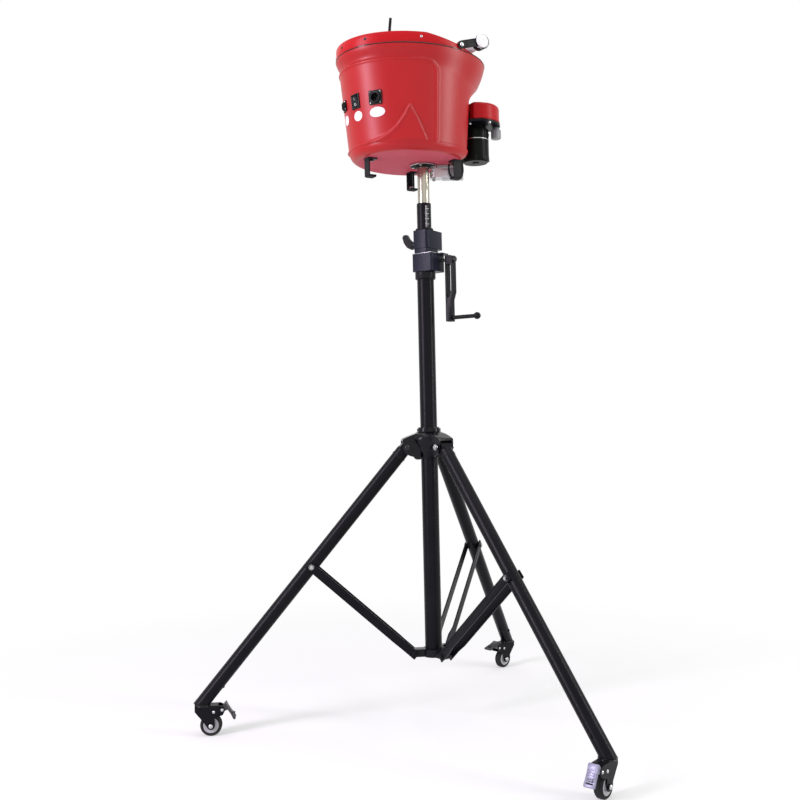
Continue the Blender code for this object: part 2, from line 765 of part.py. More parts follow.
mast_and_foot()
hub()
for leg_index in range(LEG_COUNT):
    leg_plane, leg_hinge = leg(leg_index)
    strut(leg_index, leg_plane)
    caster(leg_index, leg_hinge)


# Lift: winch housing, lock head, rack and pinion, crank and the telescoping tube

def rounded_box(u0, u1, v0, v1, radius, height):
    """A block with rounded upright edges, from z = 0 to height."""
    points = arc((u1 - radius, v1 - radius), radius, 0.0, 90.0, 4)
    points += arc((u0 + radius, v1 - radius), radius, 90.0, 180.0, 4)
    points += arc((u0 + radius, v0 + radius), radius, 180.0, 270.0, 4)
    points += arc((u1 - radius, v0 + radius), radius, 270.0, 360.0, 4)
    mesh = slab(points, height)
    mesh.transform(at(0.0, 0.0, height / 2))
    return mesh


def winch():
    """The fixed blocks on top of the mast. Local X is along the crank shaft, local Y away from it."""
    frame = anchor("winch_frame", MAST, at(0.0, 0.0, MAST_TOP) @ turn(WINCH_ANGLE, "Z"))
    body = rounded_box(-WINCH_SIDE, WINCH_OUT, -WINCH_SIDE, WINCH_BACK, 0.004, WINCH_H)
    lip = rounded_box(WINCH_OUT - 0.010, WINCH_OUT + WINCH_LIP, 0.004, WINCH_BACK, 0.003, WINCH_LIP_T)
    shaft_line = at(0.0, PINION_V, CRANK_Z)
    pinion_room = rod(PINION_R + TOOTH_H / 2 + 0.0008, -RACK_W / 2 - 0.001, RACK_W / 2 + 0.001, 28)
    shaft_bore = rod(CRANK_SHAFT_D / 2 + SEAT_GAP, -WINCH_SIDE + 0.005, 0.06, 20)
    cuts = [
        (rod(MAST_R + SEAT_GAP, -0.01, MAST_SOCKET + SEAT_GAP, 28), at()),
        (rod(LIFT_BORE_R, -0.01, 0.06, 28), at()),
        (pinion_room, shaft_line @ ALONG_X),
        (shaft_bore, shaft_line @ ALONG_X),
    ]
    joined = [(lip, at(0.0, 0.0, WINCH_H - WINCH_LIP_T))]
    part("winch_housing", body, "black_plastic", frame, joined=joined, cuts=cuts)

    lock = anchor("lock_frame", frame, at(0.0, 0.0, WINCH_H + SEAT_GAP))
    neck_side = LOCK_SIDE - 0.002
    neck = rounded_box(-neck_side, neck_side, -neck_side, LOCK_SIDE + 0.010, 0.004, NECK_H + 0.002)
    top = rounded_box(-LOCK_SIDE, LOCK_SIDE, -LOCK_SIDE, LOCK_BACK, 0.0065, LOCK_H)
    knob_line = at(0.0, 0.0, NECK_H + LOCK_KNOB_Z)
    cuts = [
        (rod(LIFT_BORE_R, -0.01, 0.1, 32), at()),
        (rod(0.0033, 0.0, 0.06, 16), knob_line @ ALONG_X @ turn(math.pi, "X")),
    ]
    part("lock_head", neck, "black_plastic", lock, joined=[(top, at(0.0, 0.0, NECK_H))], cuts=cuts)

    start = LOCK_SIDE + SEAT_GAP
    stem = [
        (0.0, start + 0.014),
        (0.008, start + 0.014),
        (0.009, start + 0.011),
        (0.009, start),
        (0.003, start),
        (0.003, LIFT_BORE_R + SEAT_GAP),
        (0.0, LIFT_BORE_R + SEAT_GAP),
    ]
    wing = [
        (-start - 0.003, -0.007),
        (-start - 0.016, -0.010),
        (-start - 0.027, -0.004),
        (-start - 0.036, 0.008),
        (-start - 0.040, 0.022),
        (-start - 0.036, 0.027),
        (-start - 0.028, 0.027),
        (-start - 0.021, 0.016),
        (-start - 0.013, 0.008),
        (-start - 0.003, 0.007),
    ]
    knob = anchor("lock_lever_axis", lock, knob_line)
    to_left = ALONG_X @ turn(math.pi, "X")
    part(
        "lock_lever",
        turned(stem, 24),
        "black_plastic",
        knob,
        to_left,
        joined=[(slab(wing, 0.009), to_left.inverted() @ UPRIGHT)],
    )
    return frame


def crank(frame):
    """Shaft with pinion, crank arm and turning grip."""
    axis = anchor("crank_axis", frame, at(0.0, PINION_V, CRANK_Z))
    inner_r = PINION_R - TOOTH_H / 2
    outer_r = PINION_R + TOOTH_H / 2
    teeth = []
    tooth = 2 * math.pi / PINION_TEETH
    for index in range(PINION_TEETH):
        for share, radius in ((-0.24, inner_r), (-0.12, outer_r), (0.12, outer_r), (0.24, inner_r)):
            angle = tooth * (index + share)
            teeth.append((radius * math.cos(angle), radius * math.sin(angle)))
    pinion = slab(teeth, RACK_W - 0.001)
    arm_start = WINCH_OUT + WINCH_LIP + 2 * RUN_GAP
    shaft = rod(CRANK_SHAFT_D / 2, -WINCH_SIDE + 0.006, arm_start + ARM_DEPTH + 0.003, 20)
    mesh_phase = turn(tooth / 2, "Z")
    pinion_turn = ALONG_X.inverted() @ turn(math.pi / 2, "Y") @ turn(-math.pi / 2, "Z")
    part(
        "crank_shaft",
        shaft,
        "steel",
        axis,
        ALONG_X,
        joined=[(pinion, pinion_turn @ mesh_phase)],
    )

    near = arm_start
    far = arm_start + ARM_DEPTH
    low = -ARM_LENGTH - ARM_WIDTH / 2
    side = [
        (near, 0.010),
        (near, low),
        (far - 0.006, low),
        (far - 0.006, -ARM_NECK - 0.018),
        (far, -ARM_NECK),
        (far, 0.004),
        (far - 0.003, 0.009),
        (far - 0.007, 0.010),
    ]
    window = [
        (near + ARM_PLATE, -0.012),
        (near + ARM_PLATE, -ARM_NECK - 0.012),
        (far - 0.006 - ARM_PLATE, -ARM_NECK - 0.012),
        (far - ARM_PLATE, -ARM_NECK + 0.004),
        (far - ARM_PLATE, -0.012),
    ]
    bore = rod(CRANK_SHAFT_D / 2 + SEAT_GAP, 0.0, 0.2, 20)
    pin_start = far - 0.006
    pin = rod(GRIP_PIN_D / 2, pin_start - 0.004, pin_start + GRIP_L - 0.012, 14)
    pin_place = at(0.0, 0.0, -ARM_LENGTH) @ ALONG_X
    part(
        "crank_arm",
        slab(side, ARM_WIDTH, window),
        "black_paint",
        axis,
        UPRIGHT,
        joined=[(pin, UPRIGHT.inverted() @ pin_place)],
        cuts=[(bore, UPRIGHT.inverted() @ ALONG_X)],
    )
    first = pin_start + RUN_GAP
    last = pin_start + GRIP_L
    bore_r = GRIP_PIN_D / 2 + SEAT_GAP
    ball_r = GRIP_BALL_D / 2
    profile = [(0.0, last + ball_r)]
    for degrees in (30, 60, 90, 120):
        around = math.radians(degrees)
        profile.append((ball_r * math.sin(around), last + ball_r * math.cos(around)))
    profile += [
        (GRIP_D / 2, last - ball_r * 0.85),
        (GRIP_D / 2, first),
        (bore_r, first),
        (bore_r, last - 0.011),
        (0.0, last - 0.011),
    ]
    grip = anchor("crank_grip_axis", axis, at(0.0, 0.0, -ARM_LENGTH))
    part("crank_grip", turned(profile, 20), "black_plastic", grip, ALONG_X)


def lift_column(frame):
    """The telescoping tube with its rack and the bright post that carries the head."""
    carrier = anchor("lift_axis", frame, at(0.0, 0.0, -MAST_TOP))
    tube = pipe(LIFT_R, POST_D / 2 + SEAT_GAP, LIFT_BOTTOM, LIFT_TOP)
    gear_z = MAST_TOP + CRANK_Z
    below = int(LIFT_TRAVEL / RACK_PITCH) + 2
    root = RACK_TIP - TOOTH_H
    comb = []
    for index in range(-below, 2):
        z = gear_z + RACK_PITCH * index
        comb += [
            (root, z - RACK_PITCH * 0.34),
            (RACK_TIP, z - RACK_PITCH * 0.20),
            (RACK_TIP, z + RACK_PITCH * 0.20),
            (root, z + RACK_PITCH * 0.34),
        ]
    low = comb[0][1]
    high = comb[-1][1]
    back = root - 0.0010
    rack = toothed_bar(comb, back, RACK_W)
    slot_half = RACK_W / 2 + RUN_GAP
    slot = block((0.0, -slot_half, low - RUN_GAP), (0.03, slot_half, high + RUN_GAP))
    reach = RACK_W * 0.9
    backing = block((back - 0.0006, -reach, low - 0.006), (back + 0.0006, reach, high + 0.006))
    to_rack = turn(math.pi / 2, "Z")
    last = [(backing, to_rack), (rack, to_rack)]
    part("lift_tube", tube, "black_paint", carrier, cuts=[(slot, to_rack)], last=last)
    post = pipe(POST_D / 2, POST_D / 2 - 0.002, LIFT_TOP - POST_IN_TUBE, POST_TOP)
    part("head_post", post, "chrome", carrier)


winch_frame = winch()
crank(winch_frame)
lift_column(winch_frame)


# Head: shell, lid ring, deck, carousel and what they hold. Local X is the launch direction

HEAD = anchor("head_axis", MAST, turn(HEAD_ANGLE, "Z"))


def blend(share):
    """A smooth step from 0 to 1."""
    share = min(max(share, 0.0), 1.0)
    return share * share * (3.0 - 2.0 * share)


def shell_half_length(share):
    return SHELL_HALF_LENGTH + SHELL_LENGTH_TAPER * share


def shell_point(angle, z):
    """A point of the shell's outside: an egg-shaped section with a flat front that flares out above."""
    share = (z - SHELL_BOTTOM) / SHELL_H
    length = shell_half_length(share)
    middle = SHELL_REAR - SHELL_REAR_TAPER * share + length
    front = FRONT_FLAT + (FRONT_TOP - FRONT_FLAT) * blend((share - FLARE_START) / FLARE_RISE)
    x = middle + length * math.cos(angle)
    x = front - FRONT_BLEND * math.log(1.0 + math.exp((front - x) / FRONT_BLEND))
    y = (SHELL_HALF_WIDTH + SHELL_WIDTH_TAPER * share) * math.sin(angle)
    return Vector((x, y, z))


def shell_normal(angle, z):
    """The outward direction of the shell's surface."""
    step = 0.01
    around = shell_point(angle + step, z) - shell_point(angle - step, z)
    up = shell_point(angle, z + SHELL_WALL) - shell_point(angle, z - SHELL_WALL)
    return around.cross(up).normalized()


def shell_ring(z, grow=0.0, height=None):
    """A level ring around the shell, moved outwards by grow; height may set z for each x."""
    ring = []
    for index in range(SHELL_SIDES):
        angle = 2 * math.pi * index / SHELL_SIDES
        around = shell_point(angle + 0.01, z) - shell_point(angle - 0.01, z)
        out = Vector((around.y, -around.x, 0.0)).normalized()
        point = shell_point(angle, z)
        point += out * (grow(point.x) if callable(grow) else grow)
        if height:
            point.z = height(point.x)
        ring.append(point)
    return ring


def lip_out(x):
    """How far the rim stands out: most at the front."""
    share = (x - SHELL_REAR) / (FRONT_TOP - SHELL_REAR)
    return LIP_REAR + (LIP_OUT - LIP_REAR) * blend(share)


def lofted(rings, around=False, first=False, last=False):
    """Quads between rings of points, as a BMesh. around joins the last ring to the first."""
    bm = bmesh.new()
    loops = [[bm.verts.new(point) for point in ring] for ring in rings]
    pairs = list(zip(loops, loops[1:]))
    if around:
        pairs.append((loops[-1], loops[0]))
    for low, high in pairs:
        for index in range(len(low)):
            after = (index + 1) % len(low)
            bm.faces.new((low[index], low[after], high[after], high[index]))
    if first:
        bm.faces.new(loops[0][::-1])
    if last:
        bm.faces.new(loops[-1])
    bmesh.ops.triangulate(bm, faces=[face for face in bm.faces if len(face.verts) == 4])
    return bm


def thickened(bm, wall):
    """A closed shell made from an open surface, grown inwards."""
    mesh = bpy.data.meshes.new("surface")
    bm.to_mesh(mesh)
    bm.free()
    obj = bpy.data.objects.new("surface", mesh)
    solid = obj.modifiers.new("wall", "SOLIDIFY")
    solid.thickness = wall
    solid.offset = -1.0
    solid.use_even_offset = True
    return evaluated(obj, "thickened")


def panel_place(angle_deg, z):
    """A frame on the shell's surface: Z outwards, Y up."""
    angle = math.radians(angle_deg)
    out = shell_normal(angle, z)
    across = Vector((0.0, 0.0, 1.0)).cross(out).normalized()
    up = out.cross(across)
    turned_in = Matrix((across, up, out)).transposed().to_4x4()
    return Matrix.Translation(shell_point(angle, z)) @ turned_in


def shell():
    """The tub with its folded rim."""
    rings = []
    for degrees in (0.0, 30.0, 60.0, 90.0):
        angle = math.radians(degrees)
        inset = SHELL_EDGE_R * (1.0 - math.sin(angle))
        rings.append(shell_ring(SHELL_BOTTOM + SHELL_EDGE_R * (1.0 - math.cos(angle)), -inset))
    top = RIM_Z - SHELL_WALL
    low = SHELL_BOTTOM + SHELL_EDGE_R
    levels = SHELL_LEVELS
    rings += [shell_ring(low + (top - low) * share) for share in levels]
    rings.append(shell_ring(top, lambda x: lip_out(x) - SHELL_WALL))
    rings.append(shell_ring(RIM_Z - LIP_DOWN, lambda x: lip_out(x) - SHELL_WALL))
    for point in rings[-1]:
        point.z = RIM_Z - LIP_DOWN
    tub = thickened(lofted(rings, first=True), SHELL_WALL)
    half = WINDOW_W / 2
    window = block((FRONT_FLAT - 0.02, -half, WINDOW_LOW), (FRONT_FLAT + 0.05, half, WINDOW_HIGH))
    cuts = [(window, at())]
    for angle, z, width, height in PANEL_HOLES:
        hole = block((-width / 2, -height / 2, -0.02), (width / 2, height / 2, 0.02))
        cuts.append((hole, panel_place(angle, z)))
    part("bucket_shell", tub, "red_shell", HEAD, cuts=cuts)


def lid_ring():
    """The band that stands on the rim, with an ear and a rivet for each handle arm."""
    def band_height(x):
        fall = (RING_SLOPE_END - x) / (RING_SLOPE_END - RING_SLOPE_START)
        return RIM_Z + SEAT_GAP + RING_LOW_H + (RING_H - RING_LOW_H) * min(max(fall, 0.0), 1.0)

    outer = lambda x: lip_out(x) - 0.001
    inner = lambda x: lip_out(x) - 0.001 - RING_T
    floor = RIM_Z + SEAT_GAP
    rings = [
        shell_ring(RIM_Z, outer, lambda x: floor),
        shell_ring(RIM_Z, outer, band_height),
        shell_ring(RIM_Z, inner, band_height),
        shell_ring(RIM_Z, inner, lambda x: floor),
    ]
    band = mesh_from(lofted(rings, around=True), "band")
    ear = slab(arc((0.0, HANDLE_LIFT), 0.009, 0.0, 180.0, 6) + [(-0.009, 0.001), (0.009, 0.001)], EAR_T)
    rivet = turned(
        [
            (0.0, 0.0075),
            (0.004, 0.0072),
            (0.005, 0.0055),
            (RIVET_D / 2, 0.0055),
            (RIVET_D / 2, 0.0),
            (0.0, 0.0),
        ],
        12,
    )
    joined = []
    for way in (-1.0, 1.0):
        plane = at(HANDLE_X, way * (HANDLE_Y - HANDLE_ARM_T / 2 - SEAT_GAP - EAR_T / 2), floor)
        outside = at(HANDLE_X, way * (HANDLE_Y - HANDLE_ARM_T / 2 - SEAT_GAP - 0.001), floor + HANDLE_LIFT)
        joined.append((ear, plane @ UPRIGHT))
        joined.append((rivet, outside @ (ALONG_Y if way > 0 else UPRIGHT)))
    part("lid_ring", band, "red_shell", HEAD, joined=joined)


def deck():
    """The plate inside the tub that the shuttles land on, with its posts, and the turning carousel."""
    level = DECK_Z - DECK_T
    outline = [shell_ring(level, -DECK_INSET), shell_ring(level, -DECK_INSET, lambda x: DECK_Z)]
    post_r = 0.005
    joined = []
    for x, y in DECK_POSTS:
        joined.append((rod(post_r, SHELL_BOTTOM + SHELL_WALL + SEAT_GAP, level + 0.001, 12), at(x, y)))
    base_x, base_y = ANTENNA_SPOT
    joined.append((rod(0.009, DECK_Z - 0.001, DECK_Z + 0.006, 16), at(base_x, base_y)))
    fork_half = ANTENNA_D / 2 + RUN_GAP
    for way in (-1.0, 1.0):
        tab = arc((0.0, ANTENNA_PIVOT), 0.004, 0.0, 180.0, 6)
        lug = slab(tab + [(-0.004, 0.005), (0.004, 0.005)], 0.002)
        joined.append((lug, at(base_x, base_y + way * (fork_half + 0.001), DECK_Z) @ UPRIGHT))
    pin = rod(0.0012, -fork_half - 0.001, fork_half + 0.001, 10)
    outlet = rod(POCKET_D / 2 + 0.001, level - 0.01, DECK_Z + 0.01, 28)
    shaft = rod(FEED_SHAFT_D / 2 + SEAT_GAP, level - 0.01, DECK_Z + 0.01, 16)
    cuts = [(shaft, at(CAROUSEL_X)), (outlet, at(CAROUSEL_X + POCKET_R))]
    plate = mesh_from(lofted(outline, first=True, last=True), "plate")
    last = [(pin, at(base_x, base_y, DECK_Z + ANTENNA_PIVOT) @ ALONG_Y)]
    part("feed_deck", plate, "grey_plastic", HEAD, joined=joined, cuts=cuts, last=last)

    axis = anchor("carousel_axis", HEAD, at(CAROUSEL_X, 0.0, DECK_Z))
    low = RUN_GAP
    high = low + CAROUSEL_T
    profile = [
        (0.0, high + 0.018),
        (0.006, high + 0.016),
        (0.020, high + 0.001),
        (CAROUSEL_R - 0.002, high),
        (CAROUSEL_R, high - 0.002),
        (CAROUSEL_R, low),
        (0.0, low),
    ]
    pocket = rod(POCKET_D / 2, low - 0.01, high + 0.03, 18)
    cuts = [(rod(FEED_SHAFT_D / 2 + SEAT_GAP, low - 0.01, high - 0.002, 20), at())]
    for index in range(POCKET_COUNT):
        cuts.append((pocket, turn(2 * math.pi * index / POCKET_COUNT, "Z") @ at(POCKET_R)))
    part("feed_carousel", turned(profile, 30), "black_plastic", axis, cuts=cuts)

    motor_top = level - SEAT_GAP
    motor_profile = [
        (0.0, DECK_T + SEAT_GAP + high - 0.004),
        (FEED_SHAFT_D / 2, DECK_T + SEAT_GAP + high - 0.004),
        (FEED_SHAFT_D / 2, 0.0),
        (FEED_MOTOR_D / 2, 0.0),
        (FEED_MOTOR_D / 2, -FEED_GEARBOX_L),
        (FEED_MOTOR_D / 2 - 0.002, -FEED_GEARBOX_L),
        (FEED_MOTOR_D / 2 - 0.002, -FEED_MOTOR_L + 0.002),
        (FEED_MOTOR_D / 2 - 0.004, -FEED_MOTOR_L),
        (0.0, -FEED_MOTOR_L),
    ]
    part("feed_motor", turned(motor_profile, 24), "steel", HEAD, at(CAROUSEL_X, 0.0, motor_top))

    fall = (CHUTE_END - CHUTE_START) * math.tan(CHUTE_SLOPE)
    roof = level - SEAT_GAP
    side = [
        (CHUTE_START, roof),
        (CHUTE_START, CHUTE_END_Z + fall),
        (CHUTE_END, CHUTE_END_Z),
        (CHUTE_END, roof - 0.023),
        (CHUTE_END - 0.025, roof),
    ]
    room = [
        (CHUTE_START + CHUTE_T, roof + 0.01),
        (CHUTE_START + CHUTE_T, CHUTE_END_Z + fall + CHUTE_T),
        (CHUTE_END + 0.010, CHUTE_END_Z + CHUTE_T - 0.010 * math.tan(CHUTE_SLOPE)),
        (CHUTE_END + 0.010, roof + 0.01),
    ]
    hollow = slab(room, CHUTE_W - 2 * CHUTE_T)
    part("feed_chute", slab(side, CHUTE_W), "steel", HEAD, UPRIGHT, cuts=[(hollow, at())])

    board = block((BOARD_X, -0.045, BOARD_LOW), (BOARD_X + 0.0016, 0.045, BOARD_LOW + 0.060))
    joined = []
    for x0, x1, y0, y1, z0, z1 in BOARD_PIECES:
        joined.append((block((BOARD_X + x0, y0, BOARD_LOW + z0), (BOARD_X + x1, y1, BOARD_LOW + z1)), at()))
    for y in (-0.038, 0.038):
        foot_low = SHELL_BOTTOM + SHELL_WALL + SEAT_GAP - BOARD_LOW
        low = (BOARD_X - 0.004, y - 0.004, BOARD_LOW + foot_low)
        joined.append((block(low, (BOARD_X + 0.001, y + 0.004, BOARD_LOW + 0.01)), at()))
    part("control_board", board, "board_green", HEAD, joined=joined)


def panel_pieces():
    """Power switch, two panel connectors and the antenna."""
    frame = anchor("switch_frame", HEAD, panel_place(*SWITCH_SPOT))
    half_w = SWITCH_BODY_W / 2
    half_h = SWITCH_BODY_H / 2
    flange_w = half_w + 0.0025
    flange_h = half_h + 0.0025
    flange = block((-flange_w, -flange_h, SEAT_GAP), (flange_w, flange_h, 0.0030))
    body = block((-half_w, -half_h, -SWITCH_DEPTH), (half_w, half_h, 0.001))
    well_w = half_w - 0.0015
    well_h = half_h - 0.0015
    well = block((-well_w, -well_h, -SWITCH_DEPTH + 0.0015), (well_w, well_h, 0.01))
    pin = rod(0.0012, -half_w + 0.001, half_w - 0.001, 10)
    part("switch_bezel", flange, "black_plastic", frame, joined=[(body, at())], cuts=[(well, at())],
         last=[(pin, at(0.0, 0.0, ROCKER_PIVOT) @ ALONG_X)])

    rocker_axis = anchor("rocker_axis", frame, at(0.0, 0.0, ROCKER_PIVOT))
    reach = half_h - 0.0029
    paddle = [
        (-reach, 0.0058),
        (-reach + 0.0012, 0.0014),
        (-0.0030, -0.0040),
        (0.0030, -0.0040),
        (reach - 0.0012, 0.0014),
        (reach, 0.0058),
        (0.0, 0.0044),
    ]
    bore = rod(0.0012 + SEAT_GAP, -0.02, 0.02, 12)
    rocker = slab(paddle, SWITCH_BODY_W - 2 * 0.0015 - 2 * RUN_GAP)
    to_side = turn(math.pi / 2, "Z") @ UPRIGHT
    tilted = turn(ROCKER_TILT, "X") @ to_side
    part("power_rocker", rocker, "gloss_black", rocker_axis, tilted, cuts=[(bore, at())])

    for name, spot, body_w, face_w, barrel in (
        ("panel_connector", PLUG_SPOT, PLUG_BODY, PLUG_FACE, 0.0125),
        ("side_connector", SIDE_SPOT, SIDE_BODY, SIDE_FACE, 0.0095),
    ):
        plug = anchor(f"{name}_frame", HEAD, panel_place(*spot))
        half = face_w / 2
        face = rounded_box(-half, half, -half, half, 0.003, 0.0030)
        behind = block((-body_w / 2, -body_w / 2, -0.012), (body_w / 2, body_w / 2, 0.001))
        recess = rod(barrel - 0.0035, -0.006, 0.02, 16)
        joined = [(behind, at()), (rod(barrel, 0.001, 0.0065, 16), at())]
        corner = half - 0.0035
        for x, y in ((corner, -corner), (-corner, corner)):
            joined.append((rod(0.0022, 0.002, 0.0042, 8), at(x, y)))
        last = []
        for index in range(3):
            way = turn(2 * math.pi * index / 3, "Z")
            last.append((rod(0.0012, -0.0065, 0.001, 6), way @ at(barrel * 0.38)))
        seat = at(0.0, 0.0, SEAT_GAP)
        part(name, face, "black_plastic", plug, seat, joined=joined, cuts=[(recess, at())], last=last)

    base_x, base_y = ANTENNA_SPOT
    mast = anchor("antenna_axis", HEAD, at(base_x, base_y, DECK_Z + ANTENNA_PIVOT))
    points = [Vector((0.0, 0.0, 0.0015)), Vector((0.0, 0.0, 0.010))]
    for share in (0.25, 0.5, 0.75, 1.0):
        points.append(Vector((-ANTENNA_BOW * (1.0 - share) * share, 0.0, ANTENNA_L * share)))
    whip = wire(points, ANTENNA_D / 2, 2, (1.0, 1.0, 0.95, 0.9, 0.85, 0.8))
    bore = rod(0.0012 + SEAT_GAP, -0.01, 0.01, 12)
    knuckle = rod(ANTENNA_D / 2, -ANTENNA_D / 2 + RUN_GAP, ANTENNA_D / 2 - RUN_GAP, 16)
    part("antenna", whip, "black_plastic", mast, joined=[(knuckle, ALONG_Y)], cuts=[(bore, ALONG_Y)])


def handle():
    """The carrying bail: two flat arms on rivets, a rod between them and a white grip on the rod."""
    axis = anchor("handle_axis", HEAD, at(HANDLE_X, 0.0, RIM_Z + SEAT_GAP + HANDLE_LIFT))
    half = HANDLE_ARM_W / 2
    rise = math.atan2(HANDLE_RISE, HANDLE_REACH)
    length = math.hypot(HANDLE_REACH, HANDLE_RISE)
    outline = arc((0.0, 0.0), half, 90.0, 270.0, 8)
    corner = half * 0.6
    outline += [(length + corner, -half), (length + half, -corner)]
    outline += [(length + half, corner), (length + corner, half)]
    strap = slab(outline, HANDLE_ARM_T)
    tilt = turn(-rise, "Y")
    swing = at(0.0, -HANDLE_Y, 0.0) @ tilt @ UPRIGHT
    other = at(0.0, HANDLE_Y, 0.0) @ tilt @ UPRIGHT
    bar = rod(HANDLE_ROD_D / 2, -HANDLE_Y, HANDLE_Y, 14)
    bar_place = tilt @ at(length, 0.0, 0.0) @ ALONG_Y
    hole = rod(RIVET_D / 2 + SEAT_GAP, -0.01, 0.01, 14)
    back = swing.inverted()
    part(
        "handle_bail",
        strap,
        "black_plastic",
        axis,
        swing,
        joined=[(strap.copy(), back @ other), (bar, back @ bar_place)],
        cuts=[(hole, at()), (hole, back @ other)],
    )
    grip_half = HANDLE_Y - HANDLE_ARM_T / 2 - RUN_GAP
    grip_r = HANDLE_GRIP_D / 2
    collar_r = grip_r + 0.0025
    bore_r = HANDLE_ROD_D / 2 + SEAT_GAP
    profile = [
        (grip_r - 0.002, grip_half - COLLAR_W),
        (grip_r, grip_half - COLLAR_W - 0.004),
        (grip_r, -grip_half + COLLAR_W + 0.004),
        (grip_r - 0.002, -grip_half + COLLAR_W),
        (collar_r, -grip_half + COLLAR_W),
        (collar_r, -grip_half),
        (bore_r, -grip_half),
        (bore_r, grip_half),
        (collar_r, grip_half),
        (collar_r, grip_half - COLLAR_W),
    ]
    grip_axis = anchor("handle_grip_axis", axis, tilt @ at(length, 0.0, 0.0))
    part("handle_grip", turned(profile, 24, closed=True), "white_plastic", grip_axis, ALONG_Y)


def under_tub():
    """What is fixed under the tub: the socket for the post, three bracket feet and the turning motor."""
    top = SHELL_BOTTOM - SEAT_GAP
    bore_r = POST_D / 2 + SEAT_GAP
    post_end = top - SOCKET_ROOF
    profile = [
        (0.0, top),
        (SOCKET_FLANGE_R, top),
        (SOCKET_FLANGE_R, top - 0.003),
        (SOCKET_R, top - 0.004),
        (SOCKET_R, top - SOCKET_L),
        (bore_r, top - SOCKET_L),
        (bore_r, post_end),
        (0.0, post_end),
    ]
    screw = rod(0.003, top - 0.0045, top - 0.002, 10)
    joined = []
    for index in range(4):
        joined.append((screw, turn(math.pi / 4 + math.pi / 2 * index, "Z") @ at(SOCKET_FLANGE_R - 0.006)))
    part("post_socket", turned(profile, 24), "black_plastic", HEAD, joined=joined)

    half = TUB_FOOT_T / 2
    side = [
        (-half, 0.0),
        (0.022, 0.0),
        (0.022, -TUB_FOOT_T),
        (half, -TUB_FOOT_T),
        (half, -TUB_FOOT_H + TUB_FOOT_T),
        (0.018, -TUB_FOOT_H + TUB_FOOT_T),
        (0.018, -TUB_FOOT_H),
        (-half, -TUB_FOOT_H),
    ]
    bracket = slab(side, TUB_FOOT_W)
    for index, (x, y, facing) in enumerate(TUB_FEET):
        bolt = rod(0.0035, -TUB_FOOT_T - 0.0025, -TUB_FOOT_T / 2, 8)
        place = at(x, y, top) @ turn(math.radians(facing), "Z")
        part(
            f"tub_foot_{index + 1}",
            bracket if index == 0 else bracket.copy(),
            "black_paint",
            HEAD,
            place @ UPRIGHT,
            joined=[(bolt, UPRIGHT.inverted() @ at(0.012))],
        )

    x, y = YAW_MOTOR_SPOT
    motor = anchor("yaw_motor_frame", HEAD, at(x, y, top) @ turn(math.radians(YAW_MOTOR_HEADING), "Z"))
    case = rounded_box(-0.034, 0.034, -0.017, 0.017, 0.015, YAW_CASE_H)
    can = rod(0.0145, -0.020, 0.030, 20)
    link = block((-0.029, -0.008, -0.0105), (0.030, 0.008, -0.006))
    plate = block((-0.016, -0.012, -0.0035), (0.026, 0.012, 0.0))
    spacer = rod(0.006, -0.012, -0.001, 12)
    bolt = rod(0.0042, -0.012 - YAW_CASE_H - 0.003, -0.012, 8)
    joined = [
        (can, at(0.016, 0.0, -0.012 - YAW_CASE_H / 2) @ ALONG_X),
        (link, at()),
        (plate, at()),
        (spacer, at(-0.008)),
        (spacer, at(0.018)),
        (bolt, at(-0.024, 0.008)),
        (bolt, at(-0.024, -0.008)),
    ]
    lowered = at(0.0, 0.0, -0.012 - YAW_CASE_H)
    added = [(mesh, lowered.inverted() @ place) for mesh, place in joined]
    part("yaw_motor", case, "aluminium", motor, lowered, joined=added)


